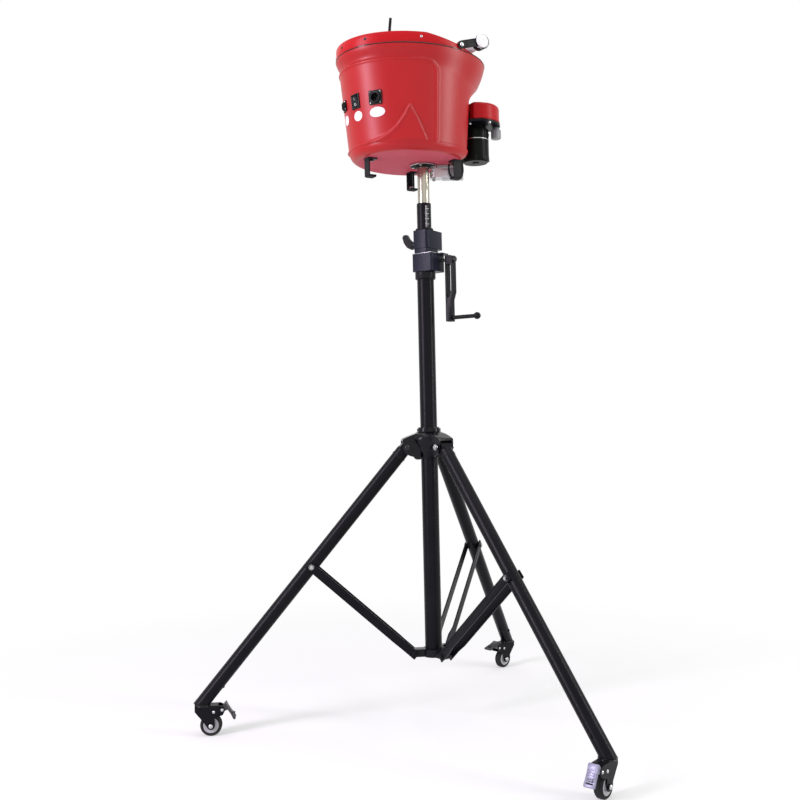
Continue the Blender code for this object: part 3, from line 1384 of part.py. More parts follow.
def launcher():
    """Plate on the front of the tub with two motors below it, two wheels above and a cover over each."""
    low = LAUNCH_PLATE_Z
    high = low + LAUNCH_PLATE_T
    back = FRONT_FLAT + SEAT_GAP
    points = [(back, -PLATE_HALF_W + 0.02), (LAUNCH_X - 0.02, -PLATE_HALF_W)]
    points += arc((LAUNCH_X, -LAUNCH_HALF_PITCH), COVER_R + 0.002, -90.0, 0.0, 8)
    points += [(LAUNCH_X + 0.012, -0.012), (LAUNCH_X + 0.012, 0.012)]
    points += arc((LAUNCH_X, LAUNCH_HALF_PITCH), COVER_R + 0.002, 0.0, 90.0, 8)
    points += [(LAUNCH_X - 0.02, PLATE_HALF_W), (back, PLATE_HALF_W - 0.02)]
    plate = slab(points, LAUNCH_PLATE_T)
    shaft_r = MOTOR_SHAFT_D / 2
    cuts = []
    for way in (-1.0, 1.0):
        cuts.append((rod(shaft_r + RUN_GAP, -0.02, 0.02, 16), at(LAUNCH_X, way * LAUNCH_HALF_PITCH)))
    cuts.append((rod(KNOB_PIN_D / 2 + SEAT_GAP, -0.02, 0.02, 12), at(*KNOB_SPOT)))
    part("launcher_plate", plate, "black_paint", HEAD, at(0.0, 0.0, low + LAUNCH_PLATE_T / 2), cuts=cuts)

    wheel_low = LAUNCH_WHEEL_Z - LAUNCH_WHEEL_T / 2
    wheel_r = LAUNCH_WHEEL_D / 2
    for name, way in (("right", -1.0), ("left", 1.0)):
        spot = at(LAUNCH_X, way * LAUNCH_HALF_PITCH)
        motor_r = MOTOR_D / 2
        top = low - SEAT_GAP
        profile = [
            (0.0, LAUNCH_WHEEL_Z + LAUNCH_WHEEL_T / 2 + 0.002),
            (shaft_r, LAUNCH_WHEEL_Z + LAUNCH_WHEEL_T / 2 + 0.001),
            (shaft_r, top),
            (motor_r * 0.80, top),
            (motor_r * 0.80, top - 0.004),
            (motor_r - 0.001, top - 0.0055),
            (motor_r, top - 0.008),
            (motor_r, top - MOTOR_L + 0.004),
            (motor_r - 0.004, top - MOTOR_L),
            (0.0, top - MOTOR_L),
        ]
        part(f"launcher_motor_{name}", turned(profile, 24), "black_plastic", HEAD, spot)

        wheel_axis = anchor(f"launch_wheel_{name}_axis", HEAD, spot @ at(0.0, 0.0, wheel_low))
        half = LAUNCH_WHEEL_T
        profile = [
            (wheel_r, half),
            (wheel_r - 0.003, half / 2),
            (wheel_r, 0.0),
            (wheel_r * 0.70, 0.0),
            (wheel_r * 0.66, 0.006),
            (0.011, 0.006),
            (shaft_r + SEAT_GAP, 0.0),
            (shaft_r + SEAT_GAP, half),
            (0.011, half - 0.006),
            (wheel_r * 0.66, half - 0.006),
            (wheel_r * 0.70, half),
        ]
        part(f"launch_wheel_{name}", turned(profile, 24, closed=True), "rubber", wheel_axis)

        cover_low = high + SEAT_GAP
        levels = ((0.0, 1.0), (COVER_H - 0.008, 1.0), (COVER_H - 0.002, 0.95), (COVER_H, 0.86))
        rings = []
        for height, share in levels:
            ring = []
            for angle in range(COVER_SIDES):
                way_round = 2 * math.pi * angle / COVER_SIDES
                px = COVER_R * math.cos(way_round)
                py = COVER_R * math.sin(way_round)
                px = max(px, COVER_BACK - LAUNCH_X)
                inside = LAUNCH_HALF_PITCH - COVER_INNER
                py = min(py * -way, inside) * -way
                ring.append(Vector((px * share, py * share, height)))
            rings.append(ring)
        dome = thickened(lofted(rings, last=True), COVER_T)
        mouth = block((-0.021, 0.030, -0.01), (0.021, 0.060, MOUTH_H))
        back_mouth = block((-0.060, -0.030, -0.01), (-0.025, 0.030, MOUTH_H))
        part(
            f"launcher_cover_{name}",
            dome,
            "red_shell",
            HEAD,
            spot @ at(0.0, 0.0, cover_low),
            cuts=[(mouth, turn(math.pi if way > 0 else 0.0, "Z")), (back_mouth, at())],
        )

    knob = anchor("launcher_knob_axis", HEAD, at(*KNOB_SPOT, low - SEAT_GAP))
    profile = [
        (0.0, LAUNCH_PLATE_T + SEAT_GAP),
        (KNOB_PIN_D / 2, LAUNCH_PLATE_T + SEAT_GAP),
        (KNOB_PIN_D / 2, 0.0),
        (0.008, 0.0),
        (0.008, -0.004),
        (KNOB_D / 2, -0.006),
        (KNOB_D / 2, -KNOB_L + 0.002),
        (KNOB_D / 2 - 0.002, -KNOB_L),
        (0.0, -KNOB_L),
    ]
    grooves = []
    for index in range(8):
        groove = rod(0.002, -KNOB_L - 0.01, -0.008, 6)
        grooves.append((groove, turn(math.pi / 4 * index, "Z") @ at(KNOB_D / 2 + 0.0008)))
    part("launcher_knob", turned(profile, 20), "grey_plastic", knob, cuts=grooves)


shell()
lid_ring()
deck()
panel_pieces()
handle()
under_tub()
launcher()
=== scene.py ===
"""Looks of the badminton serving machine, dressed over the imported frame. Metres, +Z up.

The head's own frame stands on the mast's axis and is turned by HEAD_ANGLE, with +X to the throwing side.
"""
import json
import math

import bmesh
import bpy
from mathutils import Matrix, Vector


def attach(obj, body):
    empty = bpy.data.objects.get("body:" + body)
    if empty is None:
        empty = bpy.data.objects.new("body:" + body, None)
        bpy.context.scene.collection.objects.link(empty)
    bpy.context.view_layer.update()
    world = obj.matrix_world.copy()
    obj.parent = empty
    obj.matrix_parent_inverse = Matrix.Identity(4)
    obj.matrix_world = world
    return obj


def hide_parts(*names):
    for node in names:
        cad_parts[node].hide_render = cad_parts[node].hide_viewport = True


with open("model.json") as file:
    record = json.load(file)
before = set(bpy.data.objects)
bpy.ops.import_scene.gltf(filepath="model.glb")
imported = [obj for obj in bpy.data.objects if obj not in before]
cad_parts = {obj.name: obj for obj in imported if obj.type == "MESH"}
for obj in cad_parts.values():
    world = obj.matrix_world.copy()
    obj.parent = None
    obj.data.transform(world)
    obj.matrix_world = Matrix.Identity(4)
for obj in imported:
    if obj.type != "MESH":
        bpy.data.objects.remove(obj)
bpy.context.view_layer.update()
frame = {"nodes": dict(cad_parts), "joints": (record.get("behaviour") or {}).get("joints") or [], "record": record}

JOINTS = {joint["name"]: joint for joint in frame["joints"]}
MAST_X, MAST_Y = JOINTS["head_yaw"]["pos_m"][:2]
HEAD_ANGLE = math.radians(25.3)
MAST = Matrix.Translation((MAST_X, MAST_Y, 0.0))
HEAD = MAST @ Matrix.Rotation(HEAD_ANGLE, 4, "Z")


# Materials

def node(tree, kind, **values):
    """Adds a shader node with these input values."""
    made = tree.nodes.new(f"ShaderNode{kind}")
    for name, value in values.items():
        made.inputs[name.replace("_", " ")].default_value = value
    return made


def surface(name, colour, rough, metal=0.0, grain=900.0, bump=0.04, bump_size=0.0002, cloud=14.0,
            cloud_mix=0.12, rough_mix=0.08, dark=None, coat=0.0, specular=0.5, stretch=(1.0, 1.0, 1.0)):
    """A moulded, painted or metal surface: cloudy colour and roughness, with a fine grain in the bump."""
    material = bpy.data.materials.new(name)
    material.use_nodes = True
    tree = material.node_tree
    join = tree.links.new
    shader = tree.nodes["Principled BSDF"]
    shader.inputs["Metallic"].default_value = metal
    shader.inputs["Coat Weight"].default_value = coat
    shader.inputs["Coat Roughness"].default_value = 0.12
    shader.inputs["Specular IOR Level"].default_value = specular
    place = node(tree, "TexCoord")
    mapping = node(tree, "Mapping", Scale=stretch)
    join(place.outputs["Object"], mapping.inputs["Vector"])
    clouds = node(tree, "TexNoise", Scale=cloud, Detail=5.0, Roughness=0.6)
    join(mapping.outputs["Vector"], clouds.inputs["Vector"])
    mix = node(tree, "Mix")
    mix.data_type = "RGBA"
    shade = dark or tuple(c * 0.72 for c in colour)
    mix.inputs["A"].default_value = (*colour, 1.0)
    mix.inputs["B"].default_value = (*shade, 1.0)
    ramp = node(tree, "MapRange", From_Min=0.40, From_Max=0.75, To_Max=cloud_mix * 3.0)
    join(clouds.outputs["Fac"], ramp.inputs["Value"])
    join(ramp.outputs["Result"], mix.inputs["Factor"])
    join(mix.outputs["Result"], shader.inputs["Base Color"])
    fine = node(tree, "TexNoise", Scale=grain, Detail=3.0)
    join(mapping.outputs["Vector"], fine.inputs["Vector"])
    shine = node(tree, "MapRange", To_Min=max(rough - rough_mix, 0.02), To_Max=rough + rough_mix)
    join(clouds.outputs["Fac"], shine.inputs["Value"])
    join(shine.outputs["Result"], shader.inputs["Roughness"])
    relief = node(tree, "Bump", Strength=min(bump * 10.0, 1.0), Distance=bump_size)
    join(fine.outputs["Fac"], relief.inputs["Height"])
    join(relief.outputs["Normal"], shader.inputs["Normal"])
    return material


RED = surface("red_plastic", (0.39, 0.004, 0.007), 0.38, grain=420.0, bump=0.03, bump_size=0.00025,
              cloud=5.0, cloud_mix=0.10, dark=(0.29, 0.003, 0.006), specular=0.36)
# Paler, pinker red for the tub's bottom face: painted light bouncing up from the floor.
RED_UNDER_PAINTED_BOUNCE = surface("red_underside_painted_bounce", (0.50, 0.070, 0.105), 0.62, grain=600.0, bump=0.05, cloud=7.0,
                    cloud_mix=0.25, dark=(0.40, 0.040, 0.065), specular=0.2)
RED_RING = surface("red_ring", (0.46, 0.007, 0.011), 0.32, grain=500.0, bump=0.03, cloud=6.0,
                   cloud_mix=0.10, dark=(0.36, 0.005, 0.008), specular=0.16)
RED_COVER = surface("red_cover", (0.42, 0.008, 0.012), 0.36, grain=500.0, bump=0.03, cloud=9.0,
                    cloud_mix=0.12, dark=(0.28, 0.005, 0.008), specular=0.14)
BLACK_MOTOR = surface("black_motor", (0.003, 0.004, 0.003), 0.34, grain=900.0, bump=0.03, cloud=20.0,
                      cloud_mix=0.2, dark=(0.007, 0.008, 0.007), specular=0.07)
BLACK_COAT = surface("black_powder_coat", (0.004, 0.004, 0.006), 0.30, grain=1500.0, bump=0.03, cloud=9.0,
                     cloud_mix=0.2, dark=(0.009, 0.009, 0.012), specular=0.10)
BLACK_CAST = surface("black_cast", (0.009, 0.010, 0.020), 0.32, grain=1400.0, bump=0.03, cloud=12.0,
                     cloud_mix=0.2, dark=(0.014, 0.016, 0.030), specular=0.12)
BLACK_LACQUER = surface("black_lacquer", (0.004, 0.004, 0.006), 0.16, grain=900.0, bump=0.02, cloud=16.0,
                        cloud_mix=0.2, dark=(0.009, 0.009, 0.012), specular=0.12, coat=0.10)
BLACK_PLASTIC = surface("black_plastic", (0.008, 0.008, 0.009), 0.36, grain=1900.0, bump=0.05, cloud=30.0,
                        cloud_mix=0.2, dark=(0.014, 0.014, 0.016), specular=0.10)
BLACK_GLOSS = surface("black_gloss", (0.006, 0.006, 0.008), 0.16, grain=1200.0, bump=0.02, cloud=30.0,
                      cloud_mix=0.1, dark=(0.012, 0.012, 0.014), specular=0.35)
GREY = surface("grey_plastic", (0.24, 0.24, 0.25), 0.46, grain=1600.0, bump=0.07, cloud=26.0, cloud_mix=0.12)
PEDAL_GREY = surface("pedal_grey", (0.055, 0.055, 0.058), 0.34, metal=0.6, grain=1200.0, bump=0.06,
                     cloud=40.0, cloud_mix=0.2, dark=(0.03, 0.03, 0.032), specular=0.4)
PEDAL_PALE = surface("pedal_plate", (0.26, 0.26, 0.35), 0.38, metal=0.5, grain=1200.0, bump=0.06,
                     cloud=60.0, cloud_mix=0.25, dark=(0.20, 0.20, 0.27), specular=0.4)
RIM_GREY = surface("rim_grey", (0.46, 0.46, 0.48), 0.42, grain=1600.0, bump=0.06, cloud=26.0, cloud_mix=0.15)
RUBBER = surface("rubber", (0.014, 0.014, 0.015), 0.72, grain=1300.0, bump=0.1, bump_size=0.0004, cloud=40.0,
                 cloud_mix=0.25, dark=(0.030, 0.029, 0.028), specular=0.2)
# The chrome's tan base colour is a painted reflection of warm surroundings; the lamps still give it white streaks.
CHROME_PAINTED_TAN_REFLECTION = surface("chrome", (0.40, 0.37, 0.31), 0.17, metal=1.0, grain=900.0, bump=0.01, cloud=12.0,
                 cloud_mix=0.08, rough_mix=0.04, dark=(0.27, 0.25, 0.20), stretch=(1.0, 1.0, 0.2))
STEEL = surface("brushed_steel", (0.52, 0.52, 0.53), 0.30, metal=1.0, grain=1400.0, bump=0.05, cloud=24.0,
                cloud_mix=0.15, stretch=(1.0, 1.0, 0.1))
ALUMINIUM = surface("cast_aluminium", (0.60, 0.60, 0.62), 0.36, metal=1.0, grain=700.0, bump=0.07, cloud=30.0,
                    cloud_mix=0.2)
WHITE = surface("white_plastic", (0.84, 0.84, 0.85), 0.32, grain=1100.0, bump=0.03, cloud=9.0, cloud_mix=0.04,
                dark=(0.72, 0.72, 0.74))
LABEL = surface("label_white", (0.80, 0.79, 0.80), 0.30, grain=1500.0, bump=0.02, cloud=60.0, cloud_mix=0.1,
                dark=(0.62, 0.64, 0.70))
BOARD = surface("circuit_board", (0.015, 0.15, 0.05), 0.42, grain=900.0, bump=0.1, cloud=160.0, cloud_mix=0.3,
                dark=(0.09, 0.12, 0.03))
PINK_STEEL = surface("socket_steel", (0.50, 0.46, 0.46), 0.25, metal=1.0, grain=900.0, bump=0.03, cloud=22.0)

BY_SLOT = {
    "black_paint": BLACK_COAT,
    "black_plastic": BLACK_PLASTIC,
    "gloss_black": BLACK_CAST,
    "grey_plastic": GREY,
    "rim_grey": RIM_GREY,
    "rubber": RUBBER,
    "chrome": CHROME_PAINTED_TAN_REFLECTION,
    "steel": STEEL,
    "aluminium": ALUMINIUM,
    "red_shell": RED,
    "white_plastic": WHITE,
    "board_green": BOARD,
}
SLOT_OF = {entry["node"]: entry["material_slot"] for entry in frame["record"]["subparts"]}


def dress(material, *names):
    """Gives these nodes a material of their own."""
    for name in names:
        materials = frame["nodes"][name].data.materials
        materials.clear()
        materials.append(material)


for name in frame["nodes"]:
    dress(BY_SLOT[SLOT_OF[name]], name)
dress(BLACK_CAST, "winch_housing", "lock_head")
dress(BLACK_LACQUER, "hub", "mast_foot")
dress(BLACK_GLOSS, "power_rocker")
dress(RED_RING, "lid_ring")


# Shapes

def finish_mesh(bm, name, material, body, smooth=40.0, keep_normals=False):
    """Links a mesh as a piece that rides on a body."""
    if not keep_normals:
        bmesh.ops.recalc_face_normals(bm, faces=bm.faces)
    mesh = bpy.data.meshes.new(name)
    bm.to_mesh(mesh)
    bm.free()
    mesh.shade_smooth()
    mesh.set_sharp_from_angle(angle=math.radians(smooth))
    mesh.materials.append(material)
    obj = linked(name, mesh)
    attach(obj, body)
    return obj


def at(x, y, z):
    return Matrix.Translation((x, y, z))


def turn(degrees, axis):
    return Matrix.Rotation(math.radians(degrees), 4, axis)


def angles(count):
    """Evenly spaced angles of one whole turn, in radians."""
    return [2 * math.pi * index / count for index in range(count)]


def linked(name, data):
    """A new object in the scene."""
    obj = bpy.data.objects.new(name, data)
    bpy.context.scene.collection.objects.link(obj)
    return obj


def give_wall(obj, thickness):
    """Thickens an open skin inwards."""
    solid = obj.modifiers.new("wall", "SOLIDIFY")
    solid.thickness = thickness
    solid.offset = -1.0


def skin_between(bm, low, high):
    """Closes the gap between two rings of vertices with quads."""
    for index in range(len(low)):
        after = (index + 1) % len(low)
        bm.faces.new((low[index], low[after], high[after], high[index]))


def lathe(profile, place, bm=None, sides=32):
    """Adds a (radius, z) profile turned about the local Z of place."""
    bm = bm or bmesh.new()
    rings = []
    for radius, z in profile:
        if radius < 1e-6:
            rings.append([bm.verts.new(place @ Vector((0.0, 0.0, z)))])
            continue
        ring = [Vector((radius * math.cos(angle), radius * math.sin(angle), z)) for angle in angles(sides)]
        rings.append([bm.verts.new(place @ point) for point in ring])
    for low, high in zip(rings, rings[1:]):
        if len(low) == len(high) == 1:
            continue
        if len(low) == len(high):
            skin_between(bm, low, high)
            continue
        for index in range(sides):
            after = (index + 1) % sides
            if len(low) == 1:
                bm.faces.new((low[0], high[after], high[index]))
            else:
                bm.faces.new((low[index], low[after], high[0]))
    return bm


def bevelled_box(size, place, bm, edge=0.001, steps=2):
    """Adds a box with rounded edges, centred on place."""
    tool = bmesh.new()
    bmesh.ops.create_cube(tool, size=1.0)
    bmesh.ops.scale(tool, vec=size, verts=tool.verts)
    bmesh.ops.bevel(tool, geom=tool.edges, offset=edge, segments=steps, affect="EDGES", profile=0.5)
    bmesh.ops.transform(tool, matrix=place, verts=tool.verts)
    mesh = bpy.data.meshes.new("box")
    tool.to_mesh(mesh)
    tool.free()
    bm.from_mesh(mesh)
    bpy.data.meshes.remove(mesh)


def hex_head(place, bm, size, height=0.0035):
    """Adds a hexagon bolt head with its washer, standing on place."""
    washer = 0.0008
    lathe([(0.0, 0.0), (size * 1.25, 0.0), (size * 1.25, washer), (size * 1.02, washer)], place, bm, 20)
    lathe([(size, washer), (size, height - 0.0006), (size * 0.86, height), (0.0, height)], place, bm, 6)


def pan_head(place, bm, size):
    """Adds a round screw head with a dimple, standing on place."""
    lathe([(size, 0.0), (size, 0.0006), (size * 0.8, 0.0013), (size * 0.45, 0.0016), (size * 0.3, 0.0008),
           (0.0, 0.0007)], place, bm, 14)


def nuts_beside(place, out, bm, size, height):
    """Adds a nut on each side of place, facing out along Y."""
    for way in (-1.0, 1.0):
        hex_head(place @ at(0.0, way * out, 0.0) @ turn(-90.0 * way, "X"), bm, size, height)


def tube_along(points, radius, name, material, body):
    """A round rod along a smooth line of points."""
    curve = bpy.data.curves.new(name, "CURVE")
    curve.dimensions = "3D"
    curve.bevel_depth = radius
    curve.bevel_resolution = 4
    curve.use_fill_caps = True
    spline = curve.splines.new("NURBS")
    spline.points.add(len(points) - 1)
    for target, point in zip(spline.points, points):
        target.co = (*point, 1.0)
    spline.order_u = 4
    spline.use_endpoint_u = True
    spline.resolution_u = 6
    curve.materials.append(material)
    obj = linked(name, curve)
    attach(obj, body)
    return obj


# Hard and faceted pieces: the same shape with rounded edges and smooth curves

BODY_OF = {name: body for body, names in frame["record"]["behaviour"]["bodies"].items() for name in names}
SHARP = 38.0


def rounded(name, width):
    """Replaces a node by the same shape with smooth curves and its edges rounded by width."""
    source = frame["nodes"][name]
    bm = bmesh.new()
    bm.from_mesh(source.data)
    bmesh.ops.remove_doubles(bm, verts=bm.verts, dist=0.00001)
    bmesh.ops.dissolve_limit(bm, angle_limit=math.radians(1.0), verts=bm.verts, edges=bm.edges)
    piece = finish_mesh(bm, f"{name}_skin", source.data.materials[0], BODY_OF[name], SHARP)
    if width:
        edge = piece.modifiers.new("edges", "BEVEL")
        edge.width = width
        edge.segments = 2
        edge.limit_method = "ANGLE"
        edge.angle_limit = math.radians(SHARP)
        edge.harden_normals = True
    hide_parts(name)


for name, width in (
    ("mast_tube", 0.0), ("lift_tube", 0.0006), ("head_post", 0.0006), ("winch_housing", 0.0012),
    ("lock_head", 0.0014), ("lock_lever", 0.0010), ("crank_arm", 0.0010), ("crank_grip", 0.0004),
    ("mast_foot", 0.0008), ("hub", 0.0008), ("hub_lock_knob", 0.0006), ("launcher_plate", 0.0008),
    ("launcher_knob", 0.0005), ("post_socket", 0.0004), ("tub_foot_1", 0.0006), ("tub_foot_2", 0.0006),
    ("tub_foot_3", 0.0006), ("yaw_motor", 0.0008), ("switch_bezel", 0.0005), ("antenna", 0.0),
):
    rounded(name, width)
for number in (1, 2, 3):
    rounded(f"leg_tube_{number}", 0.0)
    rounded(f"caster_stem_{number}", 0.0004)
    rounded(f"caster_fork_{number}", 0.0006)
    rounded(f"caster_tyre_{number}", 0.0008)
    rounded(f"caster_wheel_{number}", 0.0005)
    rounded(f"strut_pair_{number}", 0.0005)


# Tub: the shell with its pressed panel, rim and lid ring. Angles are in degrees from the throwing side.

BOTTOM = 1.328
HEIGHT = 0.230
RIM = BOTTOM + HEIGHT
WALL = 0.003
REAR = -0.179
REAR_TAPER = 0.027
HALF_LENGTH = 0.145
LENGTH_TAPER = 0.030
HALF_WIDTH = 0.131
WIDTH_TAPER = 0.0115
EDGE_R = 0.018
FLARE_REAR = 0.026
FLARE_FRONT = 0.072
FRONT_FLAT = 0.070
FRONT_TOP = 0.170
FRONT_BLEND = 0.006
LIP_REAR = 0.006
LIP_GAIN = 0.006
AROUND = 336
LEVELS = 110
PROBE = 0.01

PANEL_START = 92.5
PANEL_TOP = 1.531
PANEL_CORNER = 0.032
PANEL_RADIUS = 0.140
STEP_WIDTH = 0.0075
STEP_HEIGHT = 0.0036
BEAD_IN = 0.0045
BEAD_WIDTH = 0.0036
BEAD_HEIGHT = 0.0030
HILL_BEAD_IN = 0.001
HILL_BEAD_WIDTH = 0.0044
HILL_STEP = 0.0014
HILL_FADE_FROM = 145.0
HILL_FADE_OVER = 25.0


def ease(share):
    share = min(max(share, 0.0), 1.0)
    return share * share * (3.0 - 2.0 * share)


def tub_point(angle, z):
    """A point on the plain shell: an oval that widens upwards, cut flat and soft at the front."""
    share = (z - BOTTOM) / HEIGHT
    length = HALF_LENGTH + LENGTH_TAPER * share
    middle = REAR - REAR_TAPER * share + length
    front = FRONT_FLAT + (FRONT_TOP - FRONT_FLAT) * ease((share - 0.55) / 0.40)
    x = middle + length * math.cos(angle)
    x = front - FRONT_BLEND * math.log(1.0 + math.exp((front - x) / FRONT_BLEND))
    return Vector((x, (HALF_WIDTH + WIDTH_TAPER * share) * math.sin(angle), z))


def tub_normal(angle, z):
    around = tub_point(angle + PROBE, z) - tub_point(angle - PROBE, z)
    up = tub_point(angle, z + 0.003) - tub_point(angle, z - 0.003)
    return around.cross(up).normalized()


def lip_out(x):
    """How far the rim stands out of the plain shell."""
    return LIP_REAR + LIP_GAIN * ease((x - REAR) / (FRONT_TOP - REAR))


# The pressed line low on the sides and the back: angle and height
HILL = ((98.0, 1.300), (102.0, 1.330), (110.0, 1.380), (118.0, 1.424), (123.0, 1.400), (130.0, 1.376),
        (137.6, 1.361), (145.0, 1.354), (153.5, 1.350), (166.0, 1.347), (180.0, 1.346))


def hill_height(degrees):
    for (low, first), (high, second) in zip(HILL, HILL[1:]):
        if degrees <= high:
            return first + (second - first) * (degrees - low) / (high - low)
    return HILL[-1][1]


def relief(angle, z):
    """How far the pressed panel and the low line stand out of the plain shell."""
    degrees = abs((math.degrees(angle) + 180.0) % 360.0 - 180.0)
    across = (degrees - PANEL_START) * math.pi / 180.0 * PANEL_RADIUS
    down = PANEL_TOP - z
    if across < PANEL_CORNER and down < PANEL_CORNER:
        inside = PANEL_CORNER - math.hypot(PANEL_CORNER - across, PANEL_CORNER - down)
    else:
        inside = min(across, down)
    panel = ease(inside / STEP_WIDTH)
    bead = math.exp(-((inside - BEAD_IN) / BEAD_WIDTH) ** 2)
    height = STEP_HEIGHT * (panel - 0.72) + BEAD_HEIGHT * bead
    if degrees > HILL[0][0]:
        below = hill_height(degrees) - z
        strength = 1.0 - 0.7 * ease((degrees - HILL_FADE_FROM) / HILL_FADE_OVER)
        height += HILL_STEP * strength * ease(below / 0.010 + 0.5)
        height += BEAD_HEIGHT * strength * math.exp(-((below - HILL_BEAD_IN) / HILL_BEAD_WIDTH) ** 2)
    fade = ease((z - BOTTOM - 0.004) / 0.014)
    return height * fade


def tub_ring(z, grow, level=None):
    """A ring round the shell at height z, moved outwards by grow, and moved to the height level if given."""
    ring = []
    for angle in angles(AROUND):
        around = tub_point(angle + PROBE, z) - tub_point(angle - PROBE, z)
        out = Vector((around.y, -around.x, 0.0)).normalized()
        point = tub_point(angle, z)
        point += out * (grow(point.x, angle) if callable(grow) else grow)
        if level is not None:
            point.z = level(point.x) if callable(level) else level
        ring.append(point)
    return ring


def strip_rings(rings, place, around=False):
    """Skins a row of rings. With around, the last ring also meets the first."""
    bm = bmesh.new()
    loops = [[bm.verts.new(place @ point) for point in ring] for ring in rings]
    pairs = list(zip(loops, loops[1:]))
    if around:
        pairs.append((loops[-1], loops[0]))
    for low, high in pairs:
        skin_between(bm, low, high)
    return bm, loops


# Panel pieces, as angle and height, and the openings for them and for the shuttles
SWITCH = (-170.0, 1.4455)
PLUG = (-147.6, 1.444)
SIDE = (168.0, 1.449)
OPENINGS = ((*SWITCH, 0.0105, 0.0140), (*PLUG, 0.0110, 0.0110), (*SIDE, 0.0085, 0.0085))
WINDOW_HALF = 0.041
WINDOW_LOW = 1.418
WINDOW_HIGH = 1.486


def panel_place(degrees, z, lift=0.0):
    """The place of a panel piece: Z points out of the shell and Y up."""
    angle = math.radians(degrees)
    out = tub_normal(angle, z)
    across = Vector((0.0, 0.0, 1.0)).cross(out).normalized()
    up = out.cross(across)
    return HEAD @ Matrix.Translation(tub_point(angle, z) + out * lift) @ Matrix(
        (across, up, out)).transposed().to_4x4()


def tub():
    """The shell: rounded foot edge, pressed sides that flare to the rim, and its openings."""
    rings = []
    for degrees in range(0, 91, 10):
        angle = math.radians(degrees)
        inset = EDGE_R * (1.0 - math.sin(angle))
        rings.append(tub_ring(BOTTOM + EDGE_R * (1.0 - math.cos(angle)), -inset))
    low = BOTTOM + EDGE_R
    top = RIM - 0.0004
    for index in range(1, LEVELS + 1):
        z = low + (top - low) * index / LEVELS

        def grow(x, angle, z=z):
            depth = FLARE_REAR + (FLARE_FRONT - FLARE_REAR) * ease((x - REAR) / (FRONT_TOP - REAR))
            flare = ease((z - RIM + depth) / (depth - 0.002))
            return relief(angle, z) * (1.0 - flare) + (lip_out(x) - 0.0004) * flare

        rings.append(tub_ring(z, grow))
    bm, loops = strip_rings(rings, HEAD)
    # The bottom face takes the second material, whose paler pinker red is painted light from the floor below.
    bm.faces.new(loops[0][::-1]).material_index = 1
    back = HEAD.inverted()
    holes = [(panel_place(degrees, z).inverted(), wide, high) for degrees, z, wide, high in OPENINGS]
    gone = []
    for face in bm.faces:
        centre = face.calc_center_median()
        local = back @ centre
        if local.x > 0.05 and abs(local.y) < WINDOW_HALF and WINDOW_LOW < local.z < WINDOW_HIGH:
            gone.append(face)
            continue
        for place, wide, high in holes:
            spot = place @ centre
            if abs(spot.x) < wide and abs(spot.y) < high and abs(spot.z) < 0.02:
                gone.append(face)
                break
    bmesh.ops.delete(bm, geom=gone, context="FACES")
    obj = finish_mesh(bm, "tub_skin", RED, "head", 50.0, keep_normals=True)
    obj.data.materials.append(RED_UNDER_PAINTED_BOUNCE)
    give_wall(obj, WALL)
    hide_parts("bucket_shell")


HANDLE_X = 0.015
BAND_LOW = 0.002
BAND_GAIN = 0.023
BAND_LOW_FROM = 0.060
BAND_RUN = 0.135
EAR_Y = 0.1451


def lid_band():
    """The band on the rim, higher at the rear, with its ears, the dark seam under it, rivets and screws."""
    floor = RIM + 0.0003

    def top(x):
        fall = (BAND_LOW_FROM - x) / BAND_RUN
        return floor + BAND_LOW + BAND_GAIN * min(max(fall, 0.0), 1.0)

    def out(extra):
        return lambda x, angle: lip_out(x) - 0.001 + extra

    def under_top(drop):
        return lambda x: top(x) - drop

    rings = [tub_ring(RIM, out(extra), level) for extra, level in (
        (-0.0004, floor), (0.0, floor + 0.0006), (0.0, under_top(0.0012)), (-0.0005, under_top(0.0003)),
        (-0.0014, top), (-0.0025, under_top(0.0003)), (-0.0030, under_top(0.0012)), (-0.0030, floor))]
    bm, _ = strip_rings(rings, HEAD, around=True)
    for way in (-1.0, 1.0):
        place = HEAD @ at(HANDLE_X, way * EAR_Y, floor + 0.0045)
        bevelled_box((0.018, 0.0058, 0.009), place, bm, 0.0012)
        disc = HEAD @ at(HANDLE_X, way * EAR_Y, floor + 0.010) @ turn(90.0, "X")
        lathe([(0.0, -0.0029), (0.0088, -0.0029), (0.009, -0.0024), (0.009, 0.0024), (0.0088, 0.0029),
               (0.0, 0.0029)], disc, bm, 28)
    band = finish_mesh(bm, "lid_band", RED_RING, "head")
    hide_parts("lid_ring")

    seam = [tub_ring(RIM, out(extra), level) for extra, level in (
        (-0.0012, RIM - 0.0010), (0.0012, RIM - 0.0010), (0.0014, floor), (0.0009, floor + 0.0007),
        (-0.0012, floor + 0.0007))]
    bm, _ = strip_rings(seam, HEAD, around=True)
    finish_mesh(bm, "rim_seam", BLACK_GLOSS, "head")

    bm = bmesh.new()
    for way in (-1.0, 1.0):
        place = HEAD @ at(HANDLE_X, way * 0.1480, floor + 0.010) @ turn(-90.0 * way, "X")
        lathe([(0.0025, 0.0), (0.0025, 0.0040), (0.0050, 0.0042), (0.0047, 0.0056), (0.0035, 0.0068),
               (0.0, 0.0073)], place, bm, 20)
    finish_mesh(bm, "handle_rivets", STEEL, "head")

    for name, material, spots in (
        ("ring_screws_light", STEEL, (-108.0, 108.0, -48.0, 48.0)),
        ("ring_screws_dark", BLACK_GLOSS, (-152.0, 152.0, 180.0)),
    ):
        bm = bmesh.new()
        for degrees in spots:
            angle = math.radians(degrees)
            normal = tub_normal(angle, RIM)
            normal.z = 0.0
            normal.normalize()
            point = tub_point(angle, RIM)
            height = (top(point.x) - floor) * 0.55
            point = point + normal * (lip_out(point.x) - 0.0012)
            point.z = floor + height
            face = normal.to_track_quat("Z", "Y").to_matrix().to_4x4()
            pan_head(HEAD @ Matrix.Translation(point) @ face, bm, 0.0030 if height > 0.003 else 0.0009)
        finish_mesh(bm, name, material, "head")


